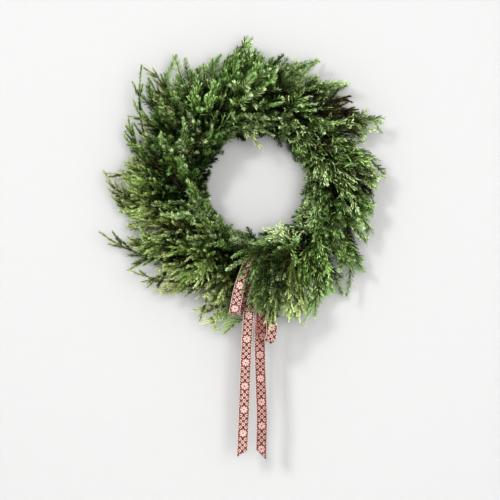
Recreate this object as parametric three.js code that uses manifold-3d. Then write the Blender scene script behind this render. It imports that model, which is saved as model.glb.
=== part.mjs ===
// A fresh evergreen wreath, about 610 mm across, with a ribbon bow, hung on a wall from a nail.
//
// Millimetres, +Z up and +X to the right of someone who faces the wreath and looks along +Y.
// The wall is on the +Y side. The origin is where a nail carries the wire ring, under its top.
//
// Sixteen bunches are bound clockwise round the front of a crimped wire ring. Each bunch has three
// sprays: one turned in to the hole, one on the face and one thrown outward. A spray is one solid:
// bound stem ends, a main twig and side twigs, with needles raised from the twigs' own faces.
//
// Every spray keeps to a cell of its own, so none cuts into its neighbour. A place in a cell is
// [across, reach, fan]: how far across the bunch's sector (0 to 1), how far from the line that the
// sprays fan out from (mm), and in which direction round that line (0 outward, 90 to the front,
// 180 to the hole, degrees). Cells lean clockwise as they reach out, which gives the wreath its swirl.

import * as THREE from 'three';
import Module from 'manifold-3d';

const wasm = await Module();
wasm.setup();

const radians = THREE.MathUtils.degToRad;
const degrees = THREE.MathUtils.radToDeg;
const { lerp, euclideanModulo } = THREE.MathUtils;

// ---------------------------------------------------------------- driving dimensions

const RING_RADIUS = 178;          // centre line of the wire ring
const RING_WIRE = 4;              // thickness of its wire
const RING_SIDES = 6;
const CRIMP = 2;                  // how far each crimp leaves the centre line
const CRIMPS = 24;

const BUNCHES = 16;
const FIRST_BUNCH = 6;            // degrees clockwise from 12 o'clock
const SECTOR = 360 / BUNCHES;
const FAN_DEPTH = -9;             // depth of the line that the sprays fan out from
const STEM_RADIUS = 5;            // bound stem ends of one spray
const STEM_SIDES = 6;
const STEM_SPAN = [0.4, 6];       // where they lie, degrees past the bunch's own line

const BINDING_WIRE = 1.2;         // thickness
const BINDING_GAP = 0.5;          // left between the wire and what it binds
const BINDING_SPAN = [1, 3.5];    // where its turn lies on the stem ends, degrees
const BINDING_RUN = [7, 19];      // its straight run behind the ring, which the wall touches, degrees
const BINDING_LIFT = 0.2;         // how much nearer to the wall the run lies than the turn's corners

const BACK_LIMIT = 2;             // nothing green lies deeper than this: the wall is just behind
const HOLE_RADIUS = 90;           // kept clear in the middle
const BOUND_REACH = 17;           // nearer than this to the fan line, the next bunch's binding is kept clear
const BOUND_ANGLE = 21.5;         // ... beyond this many degrees
const CELL_MARGIN = 1.5;          // left to the walls of a cell
const FACE_LIMIT = 91;            // how far a face spray reaches

// The three sprays of a bunch. fan: the range of directions that the cell takes; lean: degrees of
// swirl for each millimetre of reach; stem: where the stem ends are bound, as [out from the ring's
// centre line, depth].
const FAMILIES = {
  inner: { fan: [118, 210], lean: 0.5, stem: [-5.3, -6.9] },
  face: { fan: [48, 118], lean: 0.45, stem: [0, -16.1] },
  outer: { fan: [-30, 48], lean: 0.25, stem: [5.3, -6.9] },
};

// needle: length; slant: angle from the twig at its root and at its tip; pitch: from whorl to whorl;
// flat: branchlets to the left and right only, as on a cedar frond.
const SPECIES = {
  fir: { needle: 23, slant: [56, 34], pitch: 28, twig: 2.3, flat: false, colour: 0x2c5428 },
  cedar: { needle: 22, slant: [48, 34], pitch: 22, twig: 2, flat: true, colour: 0x5f8a3a },
  juniper: { needle: 14, slant: [34, 24], pitch: 23, twig: 1.8, flat: false, colour: 0x56663a },
};

const KINDS = {
  inner: 'fir cedar cedar fir fir cedar fir fir fir fir fir fir fir fir fir fir'.split(' '),
  face: 'fir cedar cedar cedar fir fir fir fir fir juniper fir fir fir fir cedar fir'.split(' '),
  outer: ('fir cedar cedar cedar fir cedar juniper juniper juniper juniper juniper juniper '
    + 'fir fir cedar fir').split(' '),
};

// The furthest tips of the outline, bunch by bunch: [across the sector, from the wreath's middle].
const LONG_TIPS = [
  [[0.27, 293]],
  [[0.14, 275], [0.47, 286], [0.86, 259]],
  [[0.35, 282]],
  [[0.49, 254], [0.86, 269]],
  [[0.3, 281], [0.56, 302]],
  [[0.16, 282], [0.42, 312], [0.82, 293]],
  [[0.79, 318]],
  [[0.14, 313], [0.57, 294]],
  [[0.2, 304], [0.56, 321]],
  [[0.15, 343], [0.5, 291]],
  [[0.13, 305], [0.36, 323]],
  [[0.14, 275], [0.54, 303], [0.84, 348]],
  [[0.15, 316], [0.72, 324]],
  [[0.5, 277], [0.83, 286]],
  [[0.14, 315], [0.86, 277]],
  [[0.58, 297]],
];
const TIP_SLOTS = [0.2, 0.5, 0.8];  // places across a sector that get a shorter tip if none is near
const SLOT_WIDTH = 0.21;
const FILL_RADIUS = [252, 266];     // how far out those shorter tips stand
const LONG_FAN = [10, 24];          // how far to the front the outline's tips lean
const FILL_FAN = [30, 38];

// The tips of the other sprays, each as the ranges that its place in the cell is drawn from.
const INNER_TIPS = [
  [[0.4, 0.6], [70, 82], [164, 176]],
  [[0.68, 0.8], [56, 68], [136, 150]],
  [[0.2, 0.3], [56, 66], [132, 160]],
];
const FACE_TIPS = [
  [[0.4, 0.6], [72, 80], [78, 92]],
  [[0.72, 0.8], [60, 70], [62, 72]],
];
const FACE_THIRD_TIPS = [           // bunch by bunch in turn
  [[0.2, 0.28], [58, 68], [64, 80]],
  [[0.5, 0.74], [56, 66], [98, 106]],
];

// The ribbon bow, tied low on the face.
const RIBBON_WIDTH = 22;
const RIBBON_THICKNESS = 0.8;
const KNOT = new THREE.Vector3(9, -68, -152);
const KNOT_RADIUS = 9;
const KNOT_CLEARANCE = 22;
const BOW_ZONE = { x: [-62, 49], y: [-101, -70], z: [-335, -138] };
const COVER_BUNCH = 5;            // its face spray hangs over the knot, in front of the bow's own space
const BOW_WIRE = 1.2;
const BOW_WIRE_CLEARANCE = 3;
const SEAT_GAP = 0.3;

// ---------------------------------------------------------------- solids

// A surface drawn corner by corner, closed when it becomes a solid.
class Surface {
  constructor() {
    this.corners = [];
    this.faces = [];
  }

  corner(point) {
    this.corners.push(point.x, point.y, point.z);
    return this.corners.length / 3 - 1;
  }

  row(points) {
    return points.map((point) => this.corner(point));
  }

  face(a, b, c) {
    this.faces.push(a, b, c);
  }

  // The wall between two rows of corners, both anticlockwise seen from the second row's side.
  band(near, far) {
    for (let i = 0; i < near.length; i += 1) {
      const next = (i + 1) % near.length;
      this.face(near[i], near[next], far[i]);
      this.face(near[next], far[next], far[i]);
    }
  }

  cap(row) {
    for (let i = 1; i < row.length - 1; i += 1) this.face(row[0], row[i], row[i + 1]);
  }

  solid() {
    return new wasm.Manifold(new wasm.Mesh({
      numProp: 3,
      vertProperties: new Float32Array(this.corners),
      triVerts: new Uint32Array(this.faces),
    }));
  }
}

// A solid through rows of corners, with flat ends unless it closes on itself.
function loft(rows, closed = false) {
  const surface = new Surface();
  const drawn = rows.map((points) => surface.row(points));
  for (let i = 1; i < drawn.length; i += 1) surface.band(drawn[i - 1], drawn[i]);
  if (closed) {
    surface.band(drawn.at(-1), drawn[0]);
  } else {
    surface.cap([...drawn[0]].reverse());
    surface.cap(drawn.at(-1));
  }
  return surface.solid();
}

// The part of a direction that is square to another, at unit length.
function squareTo(direction, axis) {
  return direction.clone().addScaledVector(axis, -direction.dot(axis)).normalize();
}

// Corners round one point of a twig or wire.
function section(point, tangent, normal, radius, sides, turn = 0) {
  const binormal = tangent.clone().cross(normal);
  return Array.from({ length: sides }, (_, i) => {
    const angle = radians(turn + (360 * i) / sides);
    return point.clone()
      .addScaledVector(normal, radius * Math.cos(angle))
      .addScaledVector(binormal, radius * Math.sin(angle));
  });
}

// A three-sided wire of even thickness through a list of points. inward: for each point, the
// direction away from which the wire turns a flat side.
function wireSolid(points, thickness, inward = null) {
  let normal = new THREE.Vector3(0, 1, 0);
  const rows = points.map((point, i) => {
    const before = points[Math.max(i - 1, 0)];
    const after = points[Math.min(i + 1, points.length - 1)];
    const tangent = after.clone().sub(before).normalize();
    normal = squareTo(inward ? inward[i] : normal, tangent);
    return section(point, tangent, normal, thickness / 2, 3);
  });
  return loft(rows);
}

function fuse(solids) {
  return solids.reduce((whole, next) => whole.add(next));
}

function meshOf(name, solid, material) {
  const { vertProperties, triVerts } = solid.getMesh();
  const geometry = new THREE.BufferGeometry();
  geometry.setAttribute('position', new THREE.BufferAttribute(vertProperties, 3));
  geometry.setIndex(new THREE.BufferAttribute(triVerts, 1));
  geometry.computeVertexNormals();
  const mesh = new THREE.Mesh(geometry, material);
  mesh.name = name;
  return mesh;
}

// ---------------------------------------------------------------- places on the wreath

// angle: clockwise from 12 o'clock; out: from the ring's centre line, away from the middle.
function wreathPoint(angle, out, depth) {
  const radius = RING_RADIUS + out;
  return new THREE.Vector3(radius * Math.sin(radians(angle)), depth, radius * Math.cos(radians(angle)));
}

function bunchAngle(bunch) {
  return FIRST_BUNCH + SECTOR * bunch;
}

function cellPoint(bunch, family, [across, reach, fan]) {
  const angle = bunchAngle(bunch) + SECTOR * across + FAMILIES[family].lean * reach;
  return wreathPoint(angle, reach * Math.cos(radians(fan)), FAN_DEPTH - reach * Math.sin(radians(fan)));
}

// The other way round: the place in a cell of a point, with its radius and its angle past the bunch.
function cellPlace(bunch, family, point) {
  const radius = Math.hypot(point.x, point.z);
  const out = radius - RING_RADIUS;
  const rise = FAN_DEPTH - point.y;
  const reach = Math.hypot(out, rise);
  const fan = euclideanModulo(degrees(Math.atan2(rise, out)) + 90, 360) - 90;
  const turned = degrees(Math.atan2(point.x, point.z)) - bunchAngle(bunch);
  const lean = FAMILIES[family].lean * reach;
  const across = (euclideanModulo(turned - lean + 180, 360) - 180) / SECTOR;
  return { radius, reach, fan, across, past: across * SECTOR + lean };
}

function within(value, [low, high], margin = 0) {
  return value > low + margin && value < high - margin;
}

// A repeatable draw from 0 to 1, another for each number.
function draw(number) {
  const wave = Math.sin(number * 12.9898 + 78.233) * 43758.5453;
  return wave - Math.floor(wave);
}

// ---------------------------------------------------------------- bow wire

// Twisted round the ring behind the bow and run forward between two rows of sprays to the knot.
function bowWirePath() {
  const angle = degrees(Math.atan2(KNOT.x, KNOT.z));
  const hookRadius = RING_WIRE / 2 + BOW_WIRE / 2 + 2 * SEAT_GAP;
  const hook = [-60, -25, 20, 65, 110, 155, 200].map((turn) => (
    wreathPoint(angle, hookRadius * Math.cos(radians(turn)), hookRadius * Math.sin(radians(turn)))));
  const [, seam] = FAMILIES.face.fan;
  const run = [14, 36].map((reach) => (
    wreathPoint(angle, reach * Math.cos(radians(seam)), FAN_DEPTH - reach * Math.sin(radians(seam)))));
  const arrival = run.at(-1).clone().sub(KNOT).normalize();
  const end = KNOT.clone().addScaledVector(arrival, KNOT_RADIUS + SEAT_GAP);
  return [...hook, ...run, end];
}

const BOW_WIRE_PATH = bowWirePath();

function nearBowWire(point) {
  const nearest = new THREE.Vector3();
  return BOW_WIRE_PATH.slice(1).some((end, i) => {
    new THREE.Line3(BOW_WIRE_PATH[i], end).closestPointToPoint(point, true, nearest);
    return nearest.distanceTo(point) < BOW_WIRE_CLEARANCE;
  });
}

// ---------------------------------------------------------------- what a spray keeps clear of

function inBowZone(point) {
  return Object.entries(BOW_ZONE).every(([axis, range]) => within(point[axis], range))
    || point.distanceTo(KNOT) < KNOT_CLEARANCE;
}

function isClear(bunch, family, point, margin) {
  const { radius, reach, fan, across, past } = cellPlace(bunch, family, point);
  if (point.y > BACK_LIMIT - margin / 2 || radius < HOLE_RADIUS) return false;
  if (inBowZone(point) || nearBowWire(point)) return false;
  if (family === 'face' && bunch === COVER_BUNCH) {
    if (point.y < BOW_ZONE.y[0]) return true;
  } else if (family === 'face' && reach > FACE_LIMIT) {
    return false;
  }
  if (reach < BOUND_REACH && past > BOUND_ANGLE) return false;
  return within(across, [0, 1], degrees(margin / radius) / SECTOR)
    && within(fan, FAMILIES[family].fan, degrees(margin / reach));
}

// ---------------------------------------------------------------- twigs and needles

// A curve whose control points are places in a cell.
class CellCurve extends THREE.Curve {
  constructor(bunch, family, controls) {
    super();
    Object.assign(this, { bunch, family, controls });
  }

  placeAt(t) {
    const weights = [(1 - t) ** 3, 3 * t * (1 - t) ** 2, 3 * t ** 2 * (1 - t), t ** 3];
    return [0, 1, 2].map((axis) => (
      weights.reduce((sum, weight, i) => sum + weight * this.controls[i][axis], 0)));
  }

  getPoint(t, target = new THREE.Vector3()) {
    return target.copy(cellPoint(this.bunch, this.family, this.placeAt(t)));
  }
}

const TOWARDS_VIEWER = new THREE.Vector3(0, -1, 0);
const WHORL_LENGTH = 4;           // of twig that one whorl's roots take
const TIP_LENGTH = 7;             // of bare twig past the last whorl
const TIP_RADIUS = 1.3;
const TIP_NEEDLE = 0.8;           // length of the last needles against the first
const WHORL_PLACE = 0.6;          // of a whorl in its share of the twig
const SLANT_SPREAD = 8;           // the rear needles of a whorl stand out by this more, degrees
const MAIN_BARE = 0.3;            // share of a twig's length without needles
const SIDE_BARE = 0.26;
const SIDE_THICKNESS = 0.8;       // of a side twig against its main one
const BARE_STEP = 22;             // from ring to ring where a twig has no needles
const LAY_STEP = 2;               // between the places of a curve that are tried
const NEEDLE_CUTS = [1, 0.8, 0.62];
const NEEDLE_GAP = 2.2;           // from one needle's middle line to another's
const TWIG_GAP = 3.8;             // from a needle's middle line to another twig's
const FLAT_TURN = 90;             // puts two of a whorl's faces at the sides of a flat frond
const FROND_EDGE = 0.4;           // a face nearer to the frond's middle than this carries nothing
const FROND_UNDERSIDE = 0.1;      // ... and so does one that looks down by more than this
const FROND_RISE = 0.18;          // how far branchlets stand up out of the frond's plane

function distanceBetween(one, other) {
  return Math.sqrt(one.distanceSqToLine3(other));
}

// One needle, or null where it would leave its cell or meet another piece of its own spray however
// short. laid: the needles of other whorls so far; twigs: the spray's other twigs, as lines.
function needleLine(root, direction, length, { clear, laid, twigs }) {
  for (const cut of NEEDLE_CUTS) {
    const tip = root.clone().addScaledVector(direction, length * cut);
    const line = new THREE.Line3(root, tip);
    const free = clear(tip, CELL_MARGIN) && clear(root.clone().lerp(tip, 0.5), CELL_MARGIN)
      && laid.every((needle) => distanceBetween(line, needle) > NEEDLE_GAP)
      && twigs.every((twig) => distanceBetween(line, twig) > TWIG_GAP);
    if (free) return line;
  }
  return null;
}

// A curve as far as it can be followed without leaving its cell, or null if that is too short.
// bare: the share of it that carries no needles.
function layTwig(curve, species, bare, thickness, clear) {
  const whole = curve.getLength();
  const start = bare * whole;
  let length = start;
  while (length < whole && clear(curve.getPointAt(length / whole), CELL_MARGIN + thickness)) {
    length += LAY_STEP;
  }
  length = Math.min(length, whole);
  if (length < start + species.pitch) return null;
  const corners = Math.ceil(length / BARE_STEP);
  const points = Array.from({ length: corners + 1 }, (_, i) => (
    curve.getPointAt((length * i) / corners / whole)));
  const lines = points.slice(1).map((end, i) => new THREE.Line3(points[i], end));
  return { curve, whole, start, length, thickness, lines };
}

// A three-sided twig with a whorl of needles raised from its faces at each pitch. surroundings: what
// its needles keep clear of.
function twigSolid(twig, species, surroundings) {
  const { curve, whole, start, length, thickness } = twig;
  const { needle, slant, pitch, flat } = species;
  const surface = new Surface();
  let normal = TOWARDS_VIEWER;
  let turned = false;
  const ringAt = (along, radius) => {
    const tangent = curve.getTangentAt(along / whole);
    normal = squareTo(flat ? TOWARDS_VIEWER : normal, tangent);
    const centre = curve.getPointAt(along / whole);
    const turn = (turned ? 60 : 0) + (flat ? FLAT_TURN : 0);
    const ring = section(centre, tangent, normal, radius, 3, turn)
      .map((point) => ({ point, index: surface.corner(point) }));
    Object.assign(ring, { centre, tangent, normal, turned });
    turned = !turned;
    return ring;
  };
  // From one ring to the next, half a side on. Each face becomes a needle where raise() gives it one.
  const join = (near, far, raise) => {
    for (let i = 0; i < 3; i += 1) {
      const next = (i + 1) % 3;
      const faces = far.turned
        ? [[near[i], near[next], far[i]], [near[next], far[next], far[i]]]
        : [[near[i], near[next], far[next]], [near[i], far[next], far[i]]];
      for (const corners of faces) {
        const root = new THREE.Vector3();
        corners.forEach(({ point }) => root.addScaledVector(point, 1 / 3));
        const tip = raise ? raise(root) : null;
        const [a, b, c] = corners.map(({ index }) => index);
        if (tip) {
          const apex = surface.corner(tip);
          surface.face(a, b, apex);
          surface.face(b, c, apex);
          surface.face(c, a, apex);
        } else {
          surface.face(a, b, c);
        }
      }
    }
  };

  let last = ringAt(0, thickness);
  surface.cap(last.map(({ index }) => index).reverse());
  const bareSteps = Math.ceil(start / BARE_STEP);
  for (let i = 1; i < bareSteps; i += 1) {
    const next = ringAt((start * i) / bareSteps, thickness);
    join(last, next, null);
    last = next;
  }
  const leafy = length - TIP_LENGTH - start;
  const whorls = Math.max(1, Math.round(leafy / pitch));
  for (let i = 0; i < whorls; i += 1) {
    const along = start + (leafy / whorls) * (i + WHORL_PLACE);
    const fromTip = 1 - (i + 1) / whorls;
    const radius = lerp(TIP_RADIUS, thickness, fromTip);
    const near = ringAt(along - WHORL_LENGTH / 2, radius);
    join(last, near, null);
    const far = ringAt(along + WHORL_LENGTH / 2, radius);
    const centre = near.centre.clone().lerp(far.centre, 0.5);
    const side = far.tangent.clone().cross(far.normal);
    const fresh = [];
    join(near, far, (root) => {
      const fromAxis = root.clone().sub(centre);
      const rear = fromAxis.dot(far.tangent) < 0;
      const angle = lerp(...slant, 1 - fromTip) + (rear ? SLANT_SPREAD : -SLANT_SPREAD);
      const outward = squareTo(fromAxis, far.tangent);
      if (flat) {
        const sideways = outward.dot(side);
        if (Math.abs(sideways) < FROND_EDGE || outward.dot(far.normal) < -FROND_UNDERSIDE) return null;
        outward.copy(side).multiplyScalar(Math.sign(sideways));
        outward.addScaledVector(far.normal, FROND_RISE).normalize();
      }
      const direction = outward.multiplyScalar(Math.sin(radians(angle)))
        .addScaledVector(far.tangent, Math.cos(radians(angle)));
      const line = needleLine(root, direction, needle * lerp(TIP_NEEDLE, 1, fromTip), surroundings);
      if (line) fresh.push(line);
      return line && line.end;
    });
    surroundings.laid.push(...fresh);
    last = far;
  }
  const end = surface.corner(curve.getPointAt(length / whole));
  last.forEach(({ index }, i) => surface.face(index, last[(i + 1) % 3].index, end));
  return surface.solid();
}

// The stem ends and twigs of one spray, as one solid. curves: the main twig's, then the side ones'.
function fuseSpray(bunch, family, kind, curves) {
  const species = SPECIES[kind];
  const clear = (point, margin) => isClear(bunch, family, point, margin);
  const twigs = curves.map((curve, i) => (i === 0
    ? layTwig(curve, species, MAIN_BARE, species.twig, clear)
    : layTwig(curve, species, SIDE_BARE, species.twig * SIDE_THICKNESS, clear))).filter(Boolean);
  const laid = [];
  const solids = twigs.map((twig) => {
    const others = twigs.filter((other) => other !== twig).flatMap((other) => other.lines);
    return twigSolid(twig, species, { clear, laid, twigs: others });
  });
  return fuse([stemEnds(bunch, family), ...solids]);
}

// ---------------------------------------------------------------- sprays

// Where the tips of one spray stand, longest first.
function sprayTips(bunch, family) {
  const chance = (item) => draw(bunch * 31 + item * 7 + family.length * 101);
  if (family !== 'outer') {
    const ranges = family === 'inner' ? INNER_TIPS : [...FACE_TIPS, FACE_THIRD_TIPS[bunch % 2]];
    return ranges.map((tip, i) => tip.map((range, axis) => lerp(...range, chance(3 * i + axis + 1))));
  }
  const long = LONG_TIPS[bunch].map(([across, radius], i) => {
    const fan = lerp(...LONG_FAN, chance(i + 1));
    return [across, (radius - RING_RADIUS) / Math.cos(radians(fan)), fan];
  });
  const fill = TIP_SLOTS
    .filter((slot) => long.every(([across]) => Math.abs(across - slot) > SLOT_WIDTH))
    .map((slot, i) => {
      const fan = lerp(...FILL_FAN, chance(i + 11));
      const radius = lerp(...FILL_RADIUS, chance(i + 21));
      return [slot, (radius - RING_RADIUS) / Math.cos(radians(fan)), fan];
    });
  return [...long, ...fill].sort((a, b) => b[1] - a[1]);
}

// The main twig's curve, from the bound stem ends to the longest tip.
function mainCurve(bunch, family, tip) {
  const { stem: [out, depth], lean } = FAMILIES[family];
  const reach = Math.hypot(out, FAN_DEPTH - depth);
  const fan = euclideanModulo(degrees(Math.atan2(FAN_DEPTH - depth, out)) + 90, 360) - 90;
  const rooted = (lerp(...STEM_SPAN, 0.6) - lean * reach) / SECTOR;
  return new CellCurve(bunch, family, [
    [rooted, reach, fan],
    [rooted + 0.22, reach + 9, tip[2]],
    [lerp(0.45, tip[0], 0.8), tip[1] * 0.5, tip[2]],
    tip,
  ]);
}

// A side twig leaves the main one where its own tip's reach asks for it.
function sideCurve(main, tip, leaves) {
  const from = main.placeAt(leaves);
  const onward = main.placeAt(leaves + 0.14);
  const mix = (a, b, share) => a.map((value, i) => lerp(value, b[i], share));
  return new CellCurve(main.bunch, main.family, [
    from,
    mix(onward, tip, 0.3),
    [lerp(from[0], tip[0], 0.85), lerp(from[1], tip[1], 0.66), lerp(from[2], tip[2], 0.85)],
    tip,
  ]);
}

function stemEnds(bunch, family) {
  const { stem: [out, depth] } = FAMILIES[family];
  const rows = STEM_SPAN.map((past) => {
    const angle = bunchAngle(bunch) + past;
    const onward = new THREE.Vector3(Math.cos(radians(angle)), 0, -Math.sin(radians(angle)));
    const outward = wreathPoint(angle, 0, 0).normalize();
    return section(wreathPoint(angle, out, depth), onward, outward, STEM_RADIUS, STEM_SIDES);
  });
  return loft(rows);
}

const FIRST_SIDE = 0.34;          // where the first side twig leaves the main curve, and each next
const SIDE_STEP = 0.13;

function spraySolid(bunch, family, kind) {
  const [longest, ...others] = sprayTips(bunch, family);
  const main = mainCurve(bunch, family, longest);
  const sides = others.map((tip, i) => (
    sideCurve(main, tip, FIRST_SIDE + SIDE_STEP * (others.length - 1 - i))));
  return fuseSpray(bunch, family, kind, [main, ...sides]);
}

// The fir spray that hangs over the knot of the bow.
function coverSolid() {
  const { stem: [out, depth] } = FAMILIES.face;
  const root = wreathPoint(bunchAngle(COVER_BUNCH) + lerp(...STEM_SPAN, 0.6), out, depth);
  const curve = (start, ...others) => new THREE.CubicBezierCurve3(
    start, ...others.map(([x, y, z]) => new THREE.Vector3(x, y, z)));
  const main = curve(root, [100, -60, -130], [30, -124, -190], [24, -113, -275]);
  const left = curve(main.getPoint(0.72), [30, -112, -222], [8, -114, -236], [2, -111, -264]);
  const right = curve(main.getPoint(0.68), [48, -108, -210], [49, -112, -234], [48, -110, -264]);
  return fuseSpray(COVER_BUNCH, 'face', 'fir', [main, left, right]);
}

// ---------------------------------------------------------------- ring and binding

function ringSolid() {
  const stations = 2 * CRIMPS;
  const rows = Array.from({ length: stations }, (_, i) => {
    const angle = (360 * i) / stations;
    const onward = new THREE.Vector3(Math.cos(radians(angle)), 0, -Math.sin(radians(angle)));
    const outward = wreathPoint(angle, 0, 0).normalize();
    const centre = wreathPoint(angle, i % 2 === 0 ? CRIMP : -CRIMP, 0);
    return section(centre, onward, outward, RING_WIRE / 2, RING_SIDES);
  });
  return loft(rows, true);
}

// The corners of one turn of wire round the ring and three stems, from the back and round the
// outside. Each side of the turn just clears whatever stands furthest that way. facing: away from
// what is bound, as [outward, to the wall].
function bindingTurn() {
  const clearance = BINDING_GAP + BINDING_WIRE / 2;
  const bound = [
    { at: [CRIMP, 0], radius: RING_WIRE / 2 },
    { at: [-CRIMP, 0], radius: RING_WIRE / 2 },
    ...Object.values(FAMILIES).map(({ stem }) => ({ at: stem, radius: STEM_RADIUS })),
  ];
  const sides = [90, 45, 0, -45, -90, -135, 180, 135].map((angle) => {
    const [x, y] = [Math.cos(radians(angle)), Math.sin(radians(angle))];
    const distance = Math.max(...bound.map(({ at, radius }) => at[0] * x + at[1] * y + radius));
    return { x, y, distance: distance + clearance };
  });
  return sides.map((side, i) => {
    const next = sides[(i + 1) % sides.length];
    const cross = side.x * next.y - side.y * next.x;
    return {
      out: (side.distance * next.y - next.distance * side.y) / cross,
      depth: (next.distance * side.x - side.distance * next.x) / cross,
      facing: [side.x + next.x, side.y + next.y],
    };
  });
}

function bindingSolid() {
  const turn = bindingTurn();
  const { out, depth } = turn.at(-1);
  const run = { out, depth: depth + BINDING_LIFT, facing: [0, 1] };
  const points = [];
  const inward = [];
  const lay = (angle, place) => {
    const [outward, toWall] = place.facing;
    points.push(wreathPoint(angle, place.out, place.depth));
    inward.push(wreathPoint(angle, 0, 0).normalize().multiplyScalar(-outward).setY(-toWall));
  };
  for (let bunch = 0; bunch < BUNCHES; bunch += 1) {
    turn.forEach((corner, i) => {
      lay(bunchAngle(bunch) + lerp(...BINDING_SPAN, i / (turn.length - 1)), corner);
    });
    if (bunch < BUNCHES - 1) BINDING_RUN.forEach((past) => lay(bunchAngle(bunch) + past, run));
  }
  return wireSolid(points, BINDING_WIRE, inward);
}

// ---------------------------------------------------------------- ribbon

// A flat ribbon along a smooth curve. slope: how far the left edge's end hangs below the right's.
function ribbonSolid(points, steps, slope = 0) {
  const curve = new THREE.CatmullRomCurve3(points.map(([x, y, z]) => new THREE.Vector3(x, y, z)));
  const rows = Array.from({ length: steps + 1 }, (_, i) => {
    const tangent = curve.getTangentAt(i / steps);
    const across = squareTo(new THREE.Vector3(1, 0, 0), tangent);
    const face = tangent.clone().cross(across);
    const skew = i === steps ? slope / 2 : 0;
    return [[1, 1], [-1, 1], [-1, -1], [1, -1]].map(([side, layer]) => (
      curve.getPointAt(i / steps)
        .addScaledVector(across, (side * RIBBON_WIDTH) / 2)
        .addScaledVector(face, (layer * RIBBON_THICKNESS) / 2)
        .addScaledVector(tangent, -side * skew)));
  });
  return loft(rows);
}

function knotSolid() {
  const sides = 8;
  const bulge = [[-11, 0.72], [-6, 1], [6, 1], [11, 0.72]];
  const rows = bulge.map(([along, share]) => section(
    KNOT.clone().add(new THREE.Vector3(along, 0, 0)),
    new THREE.Vector3(1, 0, 0), new THREE.Vector3(0, 1, 0), KNOT_RADIUS * share, sides));
  return loft(rows);
}

function bowSolid() {
  const { x, y, z } = KNOT;
  const leftTail = [
    [x - 1, y + 1, z], [0, -74, -172], [-8, -75, -225], [-14.3, -77, -281],
    [-19, -78, -360], [-22.5, -79, -450], [-26.8, -78, -558]];
  const rightTail = [
    [x + 2, y - 1, z], [14, -77, -176], [13, -81, -235], [10, -80, -327],
    [11.5, -79, -400], [14, -80, -480], [12.9, -79, -560]];
  const leftLoop = [
    [x - 3, y - 2, z + 2], [-8, -83, -151], [-22, -92, -162], [-35, -95, -190], [-44, -96, -222],
    [-47, -96, -250], [-45, -92, -269], [-40, -85, -269], [-32, -82, -246], [-16, -82, -202],
    [x - 4, y - 4, z - 6]];
  const rightLoop = [
    [x + 3, y - 2, z + 1], [22, -85, -158], [31, -95, -184], [34, -98, -230], [34.5, -98, -282],
    [32.5, -96, -316], [24, -91, -324], [16, -87, -312], [13.5, -87, -270], [12.5, -86, -215],
    [x + 2, y - 5, z - 7]];
  return fuse([
    knotSolid(),
    ribbonSolid(leftTail, 10, 15),
    ribbonSolid(rightTail, 10, -22),
    ribbonSolid(leftLoop, 14),
    ribbonSolid(rightLoop, 16),
  ]);
}

// ---------------------------------------------------------------- the wreath

function finish(colour, roughness, metalness = 0) {
  return new THREE.MeshStandardMaterial({ color: colour, roughness, metalness });
}

const wreath = new THREE.Group();
wreath.position.z = -(RING_RADIUS + CRIMP - RING_WIRE / 2);

const greenWire = finish(0x23402a, 0.5, 0.6);
wreath.add(meshOf('wire_ring', ringSolid(), greenWire));
wreath.add(meshOf('binding_wire', bindingSolid(), greenWire));
wreath.add(meshOf('bow_wire', wireSolid(BOW_WIRE_PATH, BOW_WIRE), greenWire));
wreath.add(meshOf('ribbon_bow', bowSolid(), finish(0xb4636a, 0.85)));

for (const [family, kinds] of Object.entries(KINDS)) {
  const row = new THREE.Group();
  kinds.forEach((kind, bunch) => {
    const covers = family === 'face' && bunch === COVER_BUNCH;
    const solid = covers ? coverSolid() : spraySolid(bunch, family, kind);
    const name = `${kind}_${family}_${String(bunch + 1).padStart(2, '0')}`;
    row.add(meshOf(name, solid, finish(SPECIES[kind].colour, 0.7)));
  });
  wreath.add(row);
}

export default wreath;
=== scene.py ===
"""The looks of a fresh evergreen wreath with a ribbon bow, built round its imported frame.

Lengths are millimetres round the middle of the wire ring, unless a name says otherwise: +X to the
right, -Y towards the viewer and +Z up. An angle round the wreath goes clockwise from 12 o'clock.
"""

import math
from collections import namedtuple

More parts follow.
